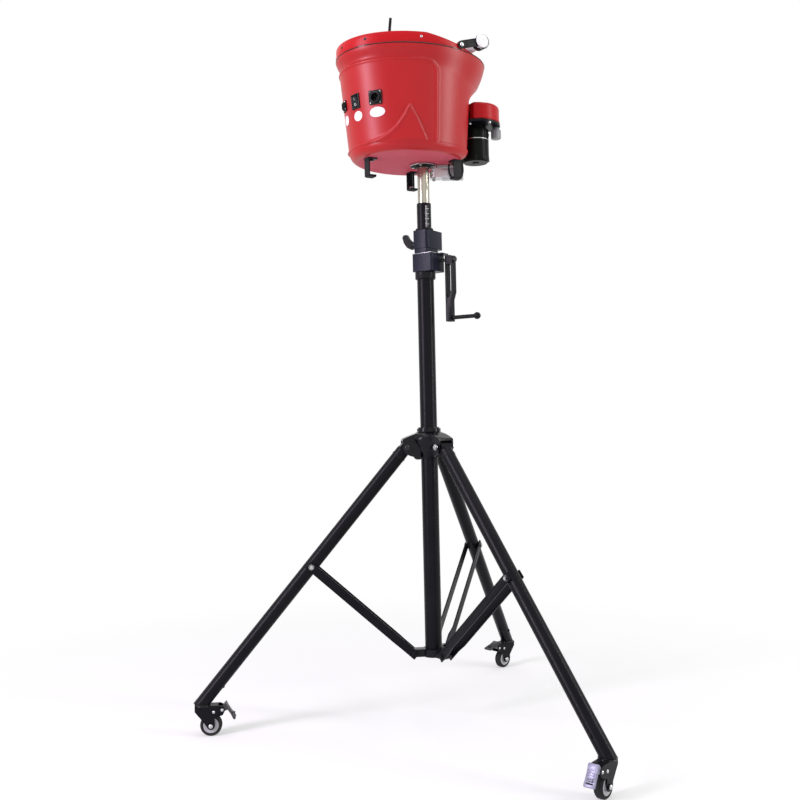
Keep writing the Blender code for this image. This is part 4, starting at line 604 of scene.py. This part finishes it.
def oval_plate(degrees, z, wide, high):
    """A blank oval plate that follows the shell."""
    place = panel_place(degrees, z)
    inverse = HEAD.inverted()
    rings = []
    for share, lift in ((1.0, 0.0000), (1.0, 0.0006), (0.95, 0.0009), (0.6, 0.0009), (0.25, 0.0009)):
        ring = []
        for angle in angles(40):
            flat = (wide / 2 * share * math.cos(angle), high / 2 * share * math.sin(angle), 0.0)
            spot = inverse @ place @ Vector(flat)
            shell_angle = math.radians(degrees)
            for _ in range(4):
                here = tub_point(shell_angle, spot.z)
                tangent = tub_point(shell_angle + PROBE, spot.z) - here
                shell_angle += (spot - here).dot(tangent) / tangent.dot(tangent) * PROBE
            base = tub_point(shell_angle, spot.z)
            normal = tub_normal(shell_angle, spot.z)
            ring.append(base + normal * (relief(shell_angle, spot.z) + lift))
        rings.append(ring)
    bm, loops = strip_rings(rings, HEAD)
    bm.faces.new(loops[-1])
    return bm


tub()
lid_band()
for number, oval in ((1, (-169.0, 1.4125, 0.026, 0.022)), (2, (-147.0, 1.4120, 0.037, 0.022)),
                     (3, (168.5, 1.4160, 0.026, 0.022))):
    finish_mesh(oval_plate(*oval), f"oval_plate_{number}", LABEL, "head")


# Head fittings: marks on the panel pieces, handle collars, launcher trim and what hangs under the tub

HANDLE_OUT = 0.055
HANDLE_UP = 0.017
LAUNCHER_X = 0.116
LAUNCHER_Y = 0.054
PLATE_Z = 1.417
COVER_R = 0.058
COVER_BACK = 0.0805
COVER_SIDE = 0.040
COVER_BEND = 0.008
FEET = ((-0.152, 0.0, 0.0), (0.016, 0.084, -90.0), (0.046, -0.078, 90.0))
YAW_MOTOR = (0.050, -0.014)
YAW_MOTOR_TURN = -32.0
SPRING = (0.016, 0.0822)


def head_place(x, y, z, *turns):
    place = HEAD @ at(x, y, z)
    for degrees, axis in turns:
        place = place @ turn(degrees, axis)
    return place


def panel_trim():
    """Screws and collars of the two connectors, a ridge round the switch and pale marks on the rocker."""
    bm = bmesh.new()
    for degrees, z, half in ((*PLUG, 0.0120), (*SIDE, 0.0085)):
        place = panel_place(degrees, z)
        for x, y in ((half, half), (-half, -half), (half, -half), (-half, half)):
            pan_head(place @ at(x, y, 0.0033), bm, 0.0019)
    finish_mesh(bm, "connector_screws", STEEL, "head")
    bm = bmesh.new()
    for degrees, z, radius in ((*PLUG, 0.0122), (*SIDE, 0.0092)):
        place = panel_place(degrees, z, 0.0068)
        lathe([(radius - 0.0018, -0.002), (radius - 0.0018, 0.0), (radius - 0.0010, 0.0008), (radius, 0.0),
               (radius + 0.0003, -0.0035)], place, bm, 36)
        for angle in angles(9):
            notch = place @ Matrix.Rotation(angle, 4, "Z") @ at(radius + 0.0002, 0.0, -0.0026)
            bevelled_box((0.0010, 0.0016, 0.0035), notch, bm, 0.0003, 1)
    finish_mesh(bm, "connector_collars", BLACK_GLOSS, "head")
    place = panel_place(*SWITCH)
    bm = bmesh.new()
    for x, y, wide, high in ((0.0, 0.0153, 0.026, 0.0018), (0.0, -0.0153, 0.026, 0.0018),
                             (0.0119, 0.0, 0.0018, 0.033), (-0.0119, 0.0, 0.0018, 0.033)):
        bevelled_box((wide, high, 0.0012), place @ at(x, y, 0.0034), bm, 0.0005)
    finish_mesh(bm, "switch_frame_edge", BLACK_GLOSS, "head")
    tilt = place @ at(0.0, 0.0, -0.0010) @ turn(9.0, "X")
    bm = bmesh.new()
    lathe([(0.0020, 0.0044), (0.0020, 0.0058), (0.0026, 0.0058), (0.0026, 0.0044)],
          tilt @ at(0.0, -0.0062, 0.0), bm, 20)
    bevelled_box((0.0008, 0.0046, 0.0014), tilt @ at(0.0, 0.0062, 0.0051), bm, 0.0001, 1)
    finish_mesh(bm, "rocker_marks", WHITE, "rocker")


def handle_trim():
    """White end caps and rings on the grip, black collars behind them, and ribs on the flat arms."""
    reach = math.hypot(HANDLE_OUT, HANDLE_UP)
    rise = math.degrees(math.atan2(HANDLE_UP, HANDLE_OUT))
    axis = head_place(HANDLE_X, 0.0, RIM + 0.0103, (-rise, "Y"))
    bm = bmesh.new()
    for way in (-1.0, 1.0):
        place = axis @ at(reach + 0.0015, way * 0.1405, -0.0008) @ turn(90.0, "X")
        lathe([(0.0133, -0.0070), (0.0160, -0.0070), (0.0168, -0.0055), (0.0168, 0.0055), (0.0160, 0.0070),
               (0.0133, 0.0070), (0.0133, -0.0070)], place, bm, 44)
        place = axis @ at(reach + 0.0038, way * 0.1545, -0.0012) @ turn(-90.0 * way, "X")
        lathe([(0.0120, -0.0028), (0.0162, -0.0028), (0.0166, -0.0020), (0.0162, -0.0008), (0.0120, -0.0004)],
              place, bm, 44)
    finish_mesh(bm, "grip_collars", BLACK_GLOSS, "handle")
    bm = bmesh.new()
    for way in (-1.0, 1.0):
        place = axis @ at(0.022, way * 0.1519, 0.0)
        for side in (-1.0, 1.0):
            rib = place @ at(0.0, 0.0, side * 0.0076)
            bevelled_box((0.036, 0.0014, 0.0018), rib, bm, 0.0005)
    finish_mesh(bm, "handle_arm_ribs", BLACK_PLASTIC, "handle")
    bm = bmesh.new()
    for way in (-1.0, 1.0):
        place = axis @ at(reach, way * 0.1517, 0.0) @ turn(-90.0 * way, "X")
        lathe([(0.0, 0.0), (0.0146, 0.0), (0.0152, 0.0012), (0.0152, 0.0040), (0.0142, 0.0054),
               (0.0118, 0.0060), (0.0040, 0.0062), (0.0034, 0.0052), (0.0, 0.0052)], place, bm, 44)
    for index in range(9):
        place = axis @ at(reach, -0.112 + 0.028 * index, 0.0) @ turn(90.0, "X")
        lathe([(0.0128, -0.0012), (0.0134, -0.0005), (0.0134, 0.0005), (0.0128, 0.0012)], place, bm, 36)
    finish_mesh(bm, "grip_caps_and_rings", WHITE, "handle_grip")


def launcher_trim():
    """Smooth motor cans and covers, rings and vents of the motors, wheel tread and plate bolts."""
    low = PLATE_Z
    for name, way in (("right", -1.0), ("left", 1.0)):
        bm = bmesh.new()
        centre = head_place(LAUNCHER_X, way * LAUNCHER_Y, 0.0)
        lathe([(0.0262, low - 0.0052), (0.0285, low - 0.0050), (0.0296, low - 0.0062), (0.0304, low - 0.0064),
               (0.0304, low - 0.0088), (0.0322, low - 0.0092)], centre, bm, 48)
        lathe([(0.0321, low - 0.0300), (0.0324, low - 0.0304), (0.0324, low - 0.0316),
               (0.0321, low - 0.0320)], centre, bm, 48)
        finish_mesh(bm, f"motor_ring_{name}", STEEL, "head")
        bm = bmesh.new()
        for angle in angles(8):
            spin = Matrix.Rotation(angle + 0.2, 4, "Z")
            place = centre @ spin @ at(0.0320, 0.0, low - 0.0770)
            bevelled_box((0.0010, 0.0050, 0.0120), place, bm, 0.0004)
            place = centre @ spin @ at(0.0325, 0.0, low - 0.0180)
            bevelled_box((0.0010, 0.0040, 0.0060), place, bm, 0.0003)
        lathe([(0.0, low - 0.0866), (0.0070, low - 0.0866), (0.0076, low - 0.0858), (0.0080, low - 0.0842)],
              centre, bm, 32)
        finish_mesh(bm, f"motor_vents_{name}", BLACK_PLASTIC, "head")

        bm = lathe([(0.0, 1.448), (0.0030, 1.448), (0.0040, 1.447), (0.0040, low - 0.0003),
                    (0.0256, low - 0.0003), (0.0256, low - 0.0043), (0.0300, low - 0.0050),
                    (0.0316, low - 0.0062), (0.0320, low - 0.0083), (0.0320, low - 0.0790),
                    (0.0314, low - 0.0810), (0.0280, low - 0.0843), (0.0, low - 0.0843)], centre, None, 72)
        can = finish_mesh(bm, f"motor_can_{name}", BLACK_MOTOR, "head")
        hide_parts(f"launcher_motor_{name}")

        rings = []
        top = low + 0.0063
        levels = [(0.0, 1.022), (0.0030, 1.022), (0.0036, 1.0), (0.0150, 1.0), (0.0265, 1.0), (0.0330, 1.0)]
        for degrees in range(15, 91, 15):
            turned_by = math.radians(degrees)
            rise = COVER_BEND * math.sin(turned_by)
            levels.append((0.0330 + rise, 1.0 - 0.15 * (1.0 - math.cos(turned_by))))
        for height, share in levels:
            ring = []
            for angle in angles(144):
                x = max(COVER_R * math.cos(angle), COVER_BACK - LAUNCHER_X)
                y = -way * min(COVER_R * math.sin(angle) * -way, COVER_SIDE)
                x *= min(share, 1.0) if x < -0.034 else share
                ring.append(Vector((x, y * share, top + height)))
            rings.append(ring)
        bm, loops = strip_rings(rings, centre)
        bm.faces.new(loops[-1])
        back = centre.inverted()
        gone = []
        for face in bm.faces:
            spot = back @ face.calc_center_median()
            if spot.z > top + 0.0265:
                continue
            if abs(spot.x) < 0.021 and -way * spot.y > 0.030 or spot.x < -0.025 and abs(spot.y) < 0.030:
                gone.append(face)
        bmesh.ops.delete(bm, geom=gone, context="FACES")
        cover = finish_mesh(bm, f"cover_{name}", RED_COVER, "head")
        give_wall(cover, 0.0025)
        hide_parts(f"launcher_cover_{name}")

        bm = bmesh.new()
        for angle in angles(48):
            spin = Matrix.Rotation(angle, 4, "Z")
            place = centre @ spin @ at(0.0402, 0.0, 1.436)
            bevelled_box((0.0022, 0.0016, 0.0150), place, bm, 0.0004, 1)
        finish_mesh(bm, f"wheel_tread_{name}", RUBBER, f"wheel_{name}")
    bm = bmesh.new()
    for x, y in ((0.082, -0.080), (0.082, 0.080), (0.116, -0.1125), (0.116, 0.1125), (0.090, 0.0)):
        hex_head(head_place(x, y, low, (180.0, "X")), bm, 0.0034, 0.0026)
    finish_mesh(bm, "plate_bolts", STEEL, "head")


def under_trim():
    """Screws of the post socket, foot pads, bolts, gearbox ribs, the strap by the motor and a spring."""
    top = BOTTOM - 0.0003
    bm = bmesh.new()
    for index in range(4):
        angle = math.pi / 4 + math.pi / 2 * index
        x, y = 0.024 * math.cos(angle), 0.024 * math.sin(angle)
        pan_head(head_place(x, y, top - 0.0045, (180.0, "X")), bm, 0.0034)
    lathe([(0.0300, top - 0.0001), (0.0312, top - 0.0004), (0.0312, top - 0.0030), (0.0288, top - 0.0036)],
          head_place(0.0, 0.0, 0.0), bm, 48)
    finish_mesh(bm, "socket_trim", PINK_STEEL, "head")

    bm = bmesh.new()
    for x, y, facing in FEET:
        place = head_place(x, y, top, (facing, "Z"))
        pad = place @ at(0.0090, 0.0, -0.0428)
        bevelled_box((0.0185, 0.0200, 0.0022), pad, bm, 0.0008)
        seat = place @ at(-0.0008, 0.0, -0.0022)
        bevelled_box((0.0040, 0.0215, 0.0050), seat, bm, 0.0012)
    finish_mesh(bm, "foot_pads", RUBBER, "head")
    bm = bmesh.new()
    for x, y, facing in FEET:
        place = head_place(x, y, top, (facing, "Z"))
        place = place @ at(0.012, 0.0, -0.003) @ turn(180.0, "X")
        hex_head(place, bm, 0.0040)
    for x, y in ((-0.024, 0.008), (-0.024, -0.008), (0.024, 0.010), (0.024, -0.010)):
        place = head_place(*YAW_MOTOR, top - 0.030, (YAW_MOTOR_TURN, "Z"))
        place = place @ at(x, y, 0.0) @ turn(180.0, "X")
        hex_head(place, bm, 0.0036)
    finish_mesh(bm, "under_bolts", BLACK_GLOSS, "head")

    place = head_place(*YAW_MOTOR, top - 0.021, (YAW_MOTOR_TURN, "Z"))
    bm = bmesh.new()
    for height in (-0.0040, 0.0, 0.0040):
        shape = []
        for angle in angles(44):
            x = 0.019 * math.copysign(1.0, math.cos(angle)) + 0.0152 * math.cos(angle)
            y = 0.0020 * math.copysign(1.0, math.sin(angle)) + 0.0154 * math.sin(angle)
            shape.append((x, y))
        low = [bm.verts.new(place @ Vector((x, y, height - 0.0009))) for x, y in shape]
        mid = [bm.verts.new(place @ Vector((x * 1.006, y * 1.012, height))) for x, y in shape]
        high = [bm.verts.new(place @ Vector((x, y, height + 0.0009))) for x, y in shape]
        skin_between(bm, low, mid)
        skin_between(bm, mid, high)
    finish_mesh(bm, "gearbox_ribs", ALUMINIUM, "head")

    loop = []
    for across, down in ((-0.0150, -0.001), (-0.0165, -0.012), (-0.0150, -0.026), (-0.0080, -0.036),
                         (0.0030, -0.040), (0.0130, -0.035), (0.0165, -0.024), (0.0160, -0.012),
                         (0.0150, -0.001)):
        place = head_place(0.062, -0.047, top + down, (YAW_MOTOR_TURN, "Z"))
        loop.append(place @ Vector((across, 0.0, 0.0)))
    tube_along(loop, 0.0024, "motor_strap", BLACK_COAT, "head")
    bm = bmesh.new()
    for index in range(11):
        place = head_place(SPRING[0], SPRING[1] + 0.0002, top - 0.006 - 0.0026 * index, (90.0, "Z"))
        lathe([(0.0046, -0.0011), (0.0058, 0.0), (0.0046, 0.0011)], place, bm, 20)
    finish_mesh(bm, "foot_spring", BLACK_GLOSS, "head")
    bm = lathe([(0.0, -0.0330), (0.0048, -0.0330), (0.0052, -0.0345), (0.0052, -0.0400), (0.0040, -0.0412),
                (0.0, -0.0412)], head_place(*SPRING, top), None, 20)
    finish_mesh(bm, "foot_spring_end", STEEL, "head")


panel_trim()
handle_trim()
launcher_trim()
under_trim()


# Mast, lift, winch and crank

MARKS = 24
MARKS_LOW = 1.172
MARKS_APART = 0.0024
MARKS_R = 0.01705
MARKS_START = math.radians(-78.0) - 0.15
WINCH_TURN = -40.0
CRANK = (0.0, 0.02402, 1.099)


def scale_marks():
    """Pale height marks on the lift tube, as plain lines, every fifth one longer."""
    bm = bmesh.new()
    steps = 6
    for index in range(MARKS):
        z = MARKS_LOW + MARKS_APART * index
        half, thick = (0.26, 0.0010) if index % 5 == 0 else (0.15, 0.0007)
        low, high = [], []
        for step in range(steps + 1):
            angle = MARKS_START + half * 2 * step / steps
            x = MARKS_R * math.cos(angle)
            y = MARKS_R * math.sin(angle)
            low.append(bm.verts.new(MAST @ Vector((x, y, z))))
            high.append(bm.verts.new(MAST @ Vector((x, y, z + thick))))
        for step in range(steps):
            bm.faces.new((low[step], low[step + 1], high[step + 1], high[step]))
    return finish_mesh(bm, "height_marks", WHITE, "lift")


def winch_trim():
    """Screws on the two fixed blocks, a thin steel strip along the lower block's top edge as a painted highlight,
    collars at their ends and the crank's nut.
    """
    turned = MAST @ turn(WINCH_TURN, "Z")
    bm = bmesh.new()
    for face, size, spots in (
        (0.0361, 0.0026, ((-0.014, 1.080), (-0.014, 1.107), (0.024, 1.080), (0.024, 1.107))),
        (0.0491, 0.0024, ((-0.012, 1.136), (-0.012, 1.160), (0.012, 1.136), (0.012, 1.160))),
    ):
        for x, z in spots:
            pan_head(turned @ at(x, face, z) @ turn(-90.0, "X"), bm, size)
    finish_mesh(bm, "winch_screws", BLACK_GLOSS, "stand")
    # A thin pale steel strip along the lower block's top edge: a painted highlight.
    bm = bmesh.new()
    place = turned @ at(0.0050, 0.0067, 1.1146)
    bevelled_box((0.0552, 0.0590, 0.0011), place, bm, 0.0004)
    finish_mesh(bm, "winch_top_edge_painted_highlight", STEEL, "stand")
    bm = bmesh.new()
    lathe([(0.0232, 1.0710), (0.0242, 1.0700), (0.0242, 1.0560), (0.0236, 1.0545), (0.0205, 1.0540)],
          MAST, bm, 48)
    lathe([(0.0176, 1.1702), (0.0205, 1.1706), (0.0212, 1.1716), (0.0212, 1.1740), (0.0205, 1.1750),
           (0.0176, 1.1752)], MAST, bm, 48)
    finish_mesh(bm, "mast_collars", BLACK_PLASTIC, "stand")
    bm = bmesh.new()
    crank = turned @ at(*CRANK) @ turn(90.0, "Y")
    lathe([(0.0, 0.0702), (0.0062, 0.0702), (0.0068, 0.0696), (0.0068, 0.0675), (0.0085, 0.0672),
           (0.0085, 0.0664)], crank, bm, 32)
    finish_mesh(bm, "crank_nut", BLACK_GLOSS, "crank")


scale_marks()
winch_trim()


# Stand: hub nuts, leg bands, strut nuts and casters

LEG_SPREAD = 40.0
LEG_END_Z = 0.076
LEG_LENGTH = 0.758
HUB_R = 0.0557
HUB_Z = LEG_END_Z + LEG_LENGTH * math.cos(math.radians(LEG_SPREAD))
STRUT_DOWN = 0.357


def stand_trim():
    """Nuts on the hub's pivots, a band, a bolt and a screw on each leg, and the struts' nuts."""
    for number, angle in ((1, 180.0), (2, 300.0), (3, 60.0)):
        pivot = MAST @ turn(angle, "Z") @ at(HUB_R, 0.0, HUB_Z)
        bm = bmesh.new()
        nuts_beside(pivot, 0.0242, bm, 0.0056, 0.0036)
        finish_mesh(bm, f"hub_nuts_{number}", STEEL if number == 2 else BLACK_GLOSS, "hub")

        tilt = pivot @ turn(-LEG_SPREAD, "Y")
        bm = bmesh.new()
        lathe([(0.0160, -0.0250), (0.0168, -0.0255), (0.0168, -0.0300), (0.0160, -0.0306)], tilt, bm, 40)
        side = tilt @ at(0.0, -0.0160, -0.716) @ turn(90.0, "X")
        hex_head(side, bm, 0.0034, 0.0024)
        side = tilt @ at(-0.0160, 0.0, -0.700) @ turn(-90.0, "Y")
        pan_head(side, bm, 0.0030)
        finish_mesh(bm, f"leg_bands_{number}", BLACK_PLASTIC, f"leg_{number}")

        bm = bmesh.new()
        nuts_beside(tilt @ at(0.0, 0.0, -STRUT_DOWN), 0.0199, bm, 0.0050, 0.0042)
        finish_mesh(bm, f"strut_nuts_{number}", STEEL, f"strut_{number}")


CASTER_HEADINGS = (0.0, 225.0, 217.0)
PEDAL_LIFT = (0.0, 0.0, 40.0)
PEDAL_PIVOT = (0.046, 0.0, 0.0613)
PEDAL_DROP = -58.0
PEDAL_HALF = 0.0114
AXLE_X = 0.019
AXLE_Z = 0.025
TYRE_R = 0.0249
FORK_SIDE = 0.0135


def brake_pedal(number, swivel):
    """A curved pedal with a rounded tip, a second prong, cross ribs on top and a dark rubber patch that paints the
    shade of a slot.
    """
    place = swivel @ at(*PEDAL_PIVOT) @ turn(-PEDAL_LIFT[number - 1], "Y") @ turn(90.0, "X")
    drop = math.radians(PEDAL_DROP)
    along = Vector((math.cos(drop), math.sin(drop), 0.0))
    up = Vector((-along.y, along.x, 0.0))
    start = Vector((0.004, 0.013, 0.0))

    def point(run, rise):
        return start + along * run + up * rise

    top = [(0.0, 0.0035), (0.003, 0.0045), (0.010, 0.0036), (0.018, 0.0030), (0.026, 0.0030), (0.034, 0.0036),
           (0.040, 0.0044), (0.0435, 0.0034), (0.0445, 0.0008), (0.0430, -0.0014), (0.0395, -0.0014),
           (0.030, 0.0), (0.020, 0.0)]
    boss_r = 0.0045
    boss = [Vector((boss_r * math.cos(math.radians(d)), boss_r * math.sin(math.radians(d)), 0.0))
            for d in (290, 262, 234, 206, 178, 150, 122)]
    shape = [point(*pair) for pair in top] + [point(0.016, 0.0)] + boss
    middle = sum(shape, Vector()) / len(shape)
    half, edge = PEDAL_HALF, 0.0006
    layers = []
    for depth, inset in ((-half, edge), (-half + edge, 0.0), (half - edge, 0.0), (half, edge)):
        layer = []
        for corner in shape:
            pulled = corner + (middle - corner).normalized() * inset
            layer.append(Vector((pulled.x, pulled.y, depth)))
        layers.append(layer)
    bm, loops = strip_rings(layers, place)
    bm.faces.new(loops[0][::-1])
    bm.faces.new(loops[-1])
    turn_down = turn(PEDAL_DROP, "Z")
    for run in (0.012, 0.017, 0.022, 0.027, 0.032):
        spot = point(run, 0.0034)
        bevelled_box((0.0016, 0.0016, 0.0204), place @ Matrix.Translation(spot) @ turn_down, bm, 0.0005, 1)
    spot = point(0.030, 0.0052)
    prong = place @ Matrix.Translation(spot) @ Matrix.Rotation(drop + math.radians(38.0), 4, "Z")
    bevelled_box((0.0090, 0.0018, 0.0120), prong, bm, 0.0007)
    material = PEDAL_PALE if number == 2 else PEDAL_GREY
    pedal = finish_mesh(bm, f"pedal_plate_{number}", material, f"pedal_{number}")
    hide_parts(f"brake_pedal_{number}")
    # A dark patch near the tip stands for the slot: painted shade.
    bm = bmesh.new()
    spot = point(0.0375, 0.0040)
    bevelled_box((0.0030, 0.0014, 0.0150), place @ Matrix.Translation(spot) @ turn_down, bm, 0.0004, 1)
    finish_mesh(bm, f"pedal_slot_painted_shade_{number}", RUBBER, f"pedal_{number}")


def caster_trim():
    """Ribs and rims of the wheels, lines on the tyres, rivets and races of the forks, and the pedals."""
    for number in (1, 2, 3):
        pivot = Vector(JOINTS[f"caster_swivel_{number}"]["pos_m"])
        swivel = at(pivot.x, pivot.y, 0.0) @ turn(CASTER_HEADINGS[number - 1], "Z")
        brake_pedal(number, swivel)
        place = swivel @ at(AXLE_X, 0.0, AXLE_Z) @ turn(-90.0, "X")
        bm = bmesh.new()
        for way in (-1.0, 1.0):
            for angle in angles(7):
                spin = Matrix.Rotation(angle, 4, "Z")
                rib = place @ spin @ at(0.0108, 0.0, way * 0.0056)
                bevelled_box((0.0080, 0.0024, 0.0036), rib, bm, 0.0006, 1)
            side = place @ turn(0.0 if way > 0 else 180.0, "X")
            lathe([(0.0142, 0.0083), (0.0150, 0.0091), (0.0168, 0.0092), (0.0176, 0.0086)], side, bm, 48)
        finish_mesh(bm, f"wheel_ribs_{number}", RIM_GREY, f"wheel_{number}")
        bm = bmesh.new()
        for ring in (-0.0045, 0.0, 0.0045):
            lathe([(TYRE_R, ring - 0.0009), (0.02515, ring - 0.0004), (0.02515, ring + 0.0004),
                   (TYRE_R, ring + 0.0009)], place, bm, 56)
        finish_mesh(bm, f"tyre_lines_{number}", RUBBER, f"wheel_{number}")
        bm = bmesh.new()
        for way in (-1.0, 1.0):
            turned = turn(-90.0 * way, "X")
            cap = swivel @ at(AXLE_X, way * 0.0158, AXLE_Z) @ turned
            lathe([(0.0, 0.0030), (0.0024, 0.0028), (0.0042, 0.0021), (0.0050, 0.0010), (0.0052, 0.0)],
                  cap, bm, 32)
            slit = cap @ at(0.0, 0.0, 0.0028)
            bevelled_box((0.0056, 0.0010, 0.0008), slit, bm, 0.0003, 1)
            for x, z in ((0.026, 0.0565), (0.0455, 0.0605)):
                rivet = swivel @ at(x, way * FORK_SIDE, z) @ turned
                lathe([(0.0, 0.0020), (0.0020, 0.0017), (0.0033, 0.0008), (0.0036, 0.0)], rivet, bm, 24)
        finish_mesh(bm, f"caster_rivets_{number}", STEEL, f"fork_{number}")
        bm = bmesh.new()
        lathe([(0.0172, 0.0700), (0.0186, 0.0703), (0.0190, 0.0710), (0.0186, 0.0717), (0.0176, 0.0719),
               (0.0176, 0.0723), (0.0184, 0.0726), (0.0184, 0.0738), (0.0176, 0.0742)], swivel, bm, 48)
        finish_mesh(bm, f"caster_races_{number}", BLACK_GLOSS, f"fork_{number}")


stand_trim()
caster_trim()


# Camera, light and floor. The camera is the one fitted to the photo.

LENS = 43.2
HEADING = -5.43
PITCH = 0.52
ROLL = -1.26
EYE = (MAST_X - 0.283, MAST_Y - 2.269, 0.748)
SOFT_LIGHT = 0.42
SHADOW_FADES_FROM = 0.45
SHADOW_GONE_AT = 1.7
FLOOR_GLOW = 0.40


def camera():
    lens = bpy.data.cameras.new("camera")
    lens.lens = LENS
    lens.sensor_width = 36.0
    eye = linked("camera", lens)
    heading, pitch, roll = (math.radians(angle) for angle in (HEADING, PITCH, ROLL))
    level = math.cos(pitch)
    forward = Vector((-math.sin(heading) * level, math.cos(heading) * level, math.sin(pitch)))
    right = Vector((math.cos(heading), math.sin(heading), 0.0))
    up = right.cross(forward)
    right_2 = math.cos(roll) * right + math.sin(roll) * up
    up_2 = -math.sin(roll) * right + math.cos(roll) * up
    turned = Matrix((right_2, up_2, -forward)).transposed().to_4x4()
    eye.matrix_world = Matrix.Translation(EYE) @ turned
    bpy.context.scene.camera = eye


def lamp(name, spot, target, size, power, tall=None, colour=(1.0, 1.0, 1.0)):
    """A lamp panel of that width, and of the height tall where given, that looks from spot at target."""
    light = bpy.data.lights.new(name, "AREA")
    light.energy = power
    light.color = colour
    light.size = size
    if tall:
        light.shape = "RECTANGLE"
        light.size_y = tall
    obj = linked(name, light)
    obj.location = spot
    obj.rotation_euler = (Vector(target) - Vector(spot)).to_track_quat("-Z", "Y").to_euler()


def seen_directly(tree):
    """1 where the camera sees it straight, in a mirror or through glass."""
    path = node(tree, "LightPath")
    first = node(tree, "Math")
    second = node(tree, "Math")
    first.operation = second.operation = "MAXIMUM"
    tree.links.new(path.outputs["Is Camera Ray"], first.inputs[0])
    tree.links.new(path.outputs["Is Glossy Ray"], first.inputs[1])
    tree.links.new(first.outputs[0], second.inputs[0])
    tree.links.new(path.outputs["Is Transmission Ray"], second.inputs[1])
    return second.outputs[0]


def floor_material():
    """Pale floor that keeps the shadow near the machine and turns into the white background away from it."""
    material = bpy.data.materials.new("floor")
    material.use_nodes = True
    tree = material.node_tree
    join = tree.links.new
    shader = tree.nodes["Principled BSDF"]
    shader.inputs["Base Color"].default_value = (0.93, 0.93, 0.93, 1.0)
    shader.inputs["Roughness"].default_value = 0.9
    shader.inputs["Specular IOR Level"].default_value = 0.0
    glow = node(tree, "Emission")
    place = node(tree, "TexCoord")
    length = node(tree, "VectorMath")
    length.operation = "LENGTH"
    far = node(tree, "MapRange")
    far.interpolation_type = "SMOOTHSTEP"
    far.inputs["From Min"].default_value = SHADOW_FADES_FROM
    far.inputs["From Max"].default_value = SHADOW_GONE_AT
    far.inputs["To Min"].default_value = FLOOR_GLOW
    both = node(tree, "Math")
    both.operation = "MULTIPLY"
    mix = node(tree, "MixShader")
    join(place.outputs["Object"], length.inputs[0])
    join(length.outputs["Value"], far.inputs["Value"])
    join(far.outputs["Result"], both.inputs[0])
    join(seen_directly(tree), both.inputs[1])
    join(both.outputs[0], mix.inputs["Fac"])
    join(shader.outputs[0], mix.inputs[1])
    join(glow.outputs[0], mix.inputs[2])
    join(mix.outputs[0], tree.nodes["Material Output"].inputs["Surface"])
    return material


def surroundings():
    """Soft light from all sides, a white background for the camera, and the floor."""
    world = bpy.data.worlds.new("studio")
    bpy.context.scene.world = world
    world.use_nodes = True
    tree = world.node_tree
    tree.nodes.clear()
    out = node(tree, "OutputWorld")
    mix = node(tree, "MixShader")
    white = (1.0, 1.0, 1.0, 1.0)
    soft = node(tree, "Background", Color=white, Strength=SOFT_LIGHT)
    plain = node(tree, "Background", Color=white, Strength=1.0)
    tree.links.new(seen_directly(tree), mix.inputs["Fac"])
    tree.links.new(soft.outputs[0], mix.inputs[1])
    tree.links.new(plain.outputs[0], mix.inputs[2])
    tree.links.new(mix.outputs[0], out.inputs["Surface"])

    bm = bmesh.new()
    bmesh.ops.create_grid(bm, x_segments=8, y_segments=8, size=9.0)
    mesh = bpy.data.meshes.new("floor")
    bm.to_mesh(mesh)
    bm.free()
    mesh.materials.append(floor_material())
    floor = linked("floor", mesh)


camera()
surroundings()
lamp("key", (-2.5, -1.3, 1.9), (0.1, 0.0, 1.2), 0.55, 92.0, 2.8, (0.94, 0.82, 1.0))
lamp("side", (2.4, -0.9, 1.7), (0.1, 0.0, 1.2), 0.25, 36.0, 2.4)
lamp("top", (0.1, -0.2, 3.8), (0.1, 0.0, 0.4), 2.8, 42.0)
lamp("front", (0.6, -3.6, 1.2), (0.1, 0.0, 0.9), 2.4, 5.0)
bpy.context.scene.view_settings.view_transform = "Standard"
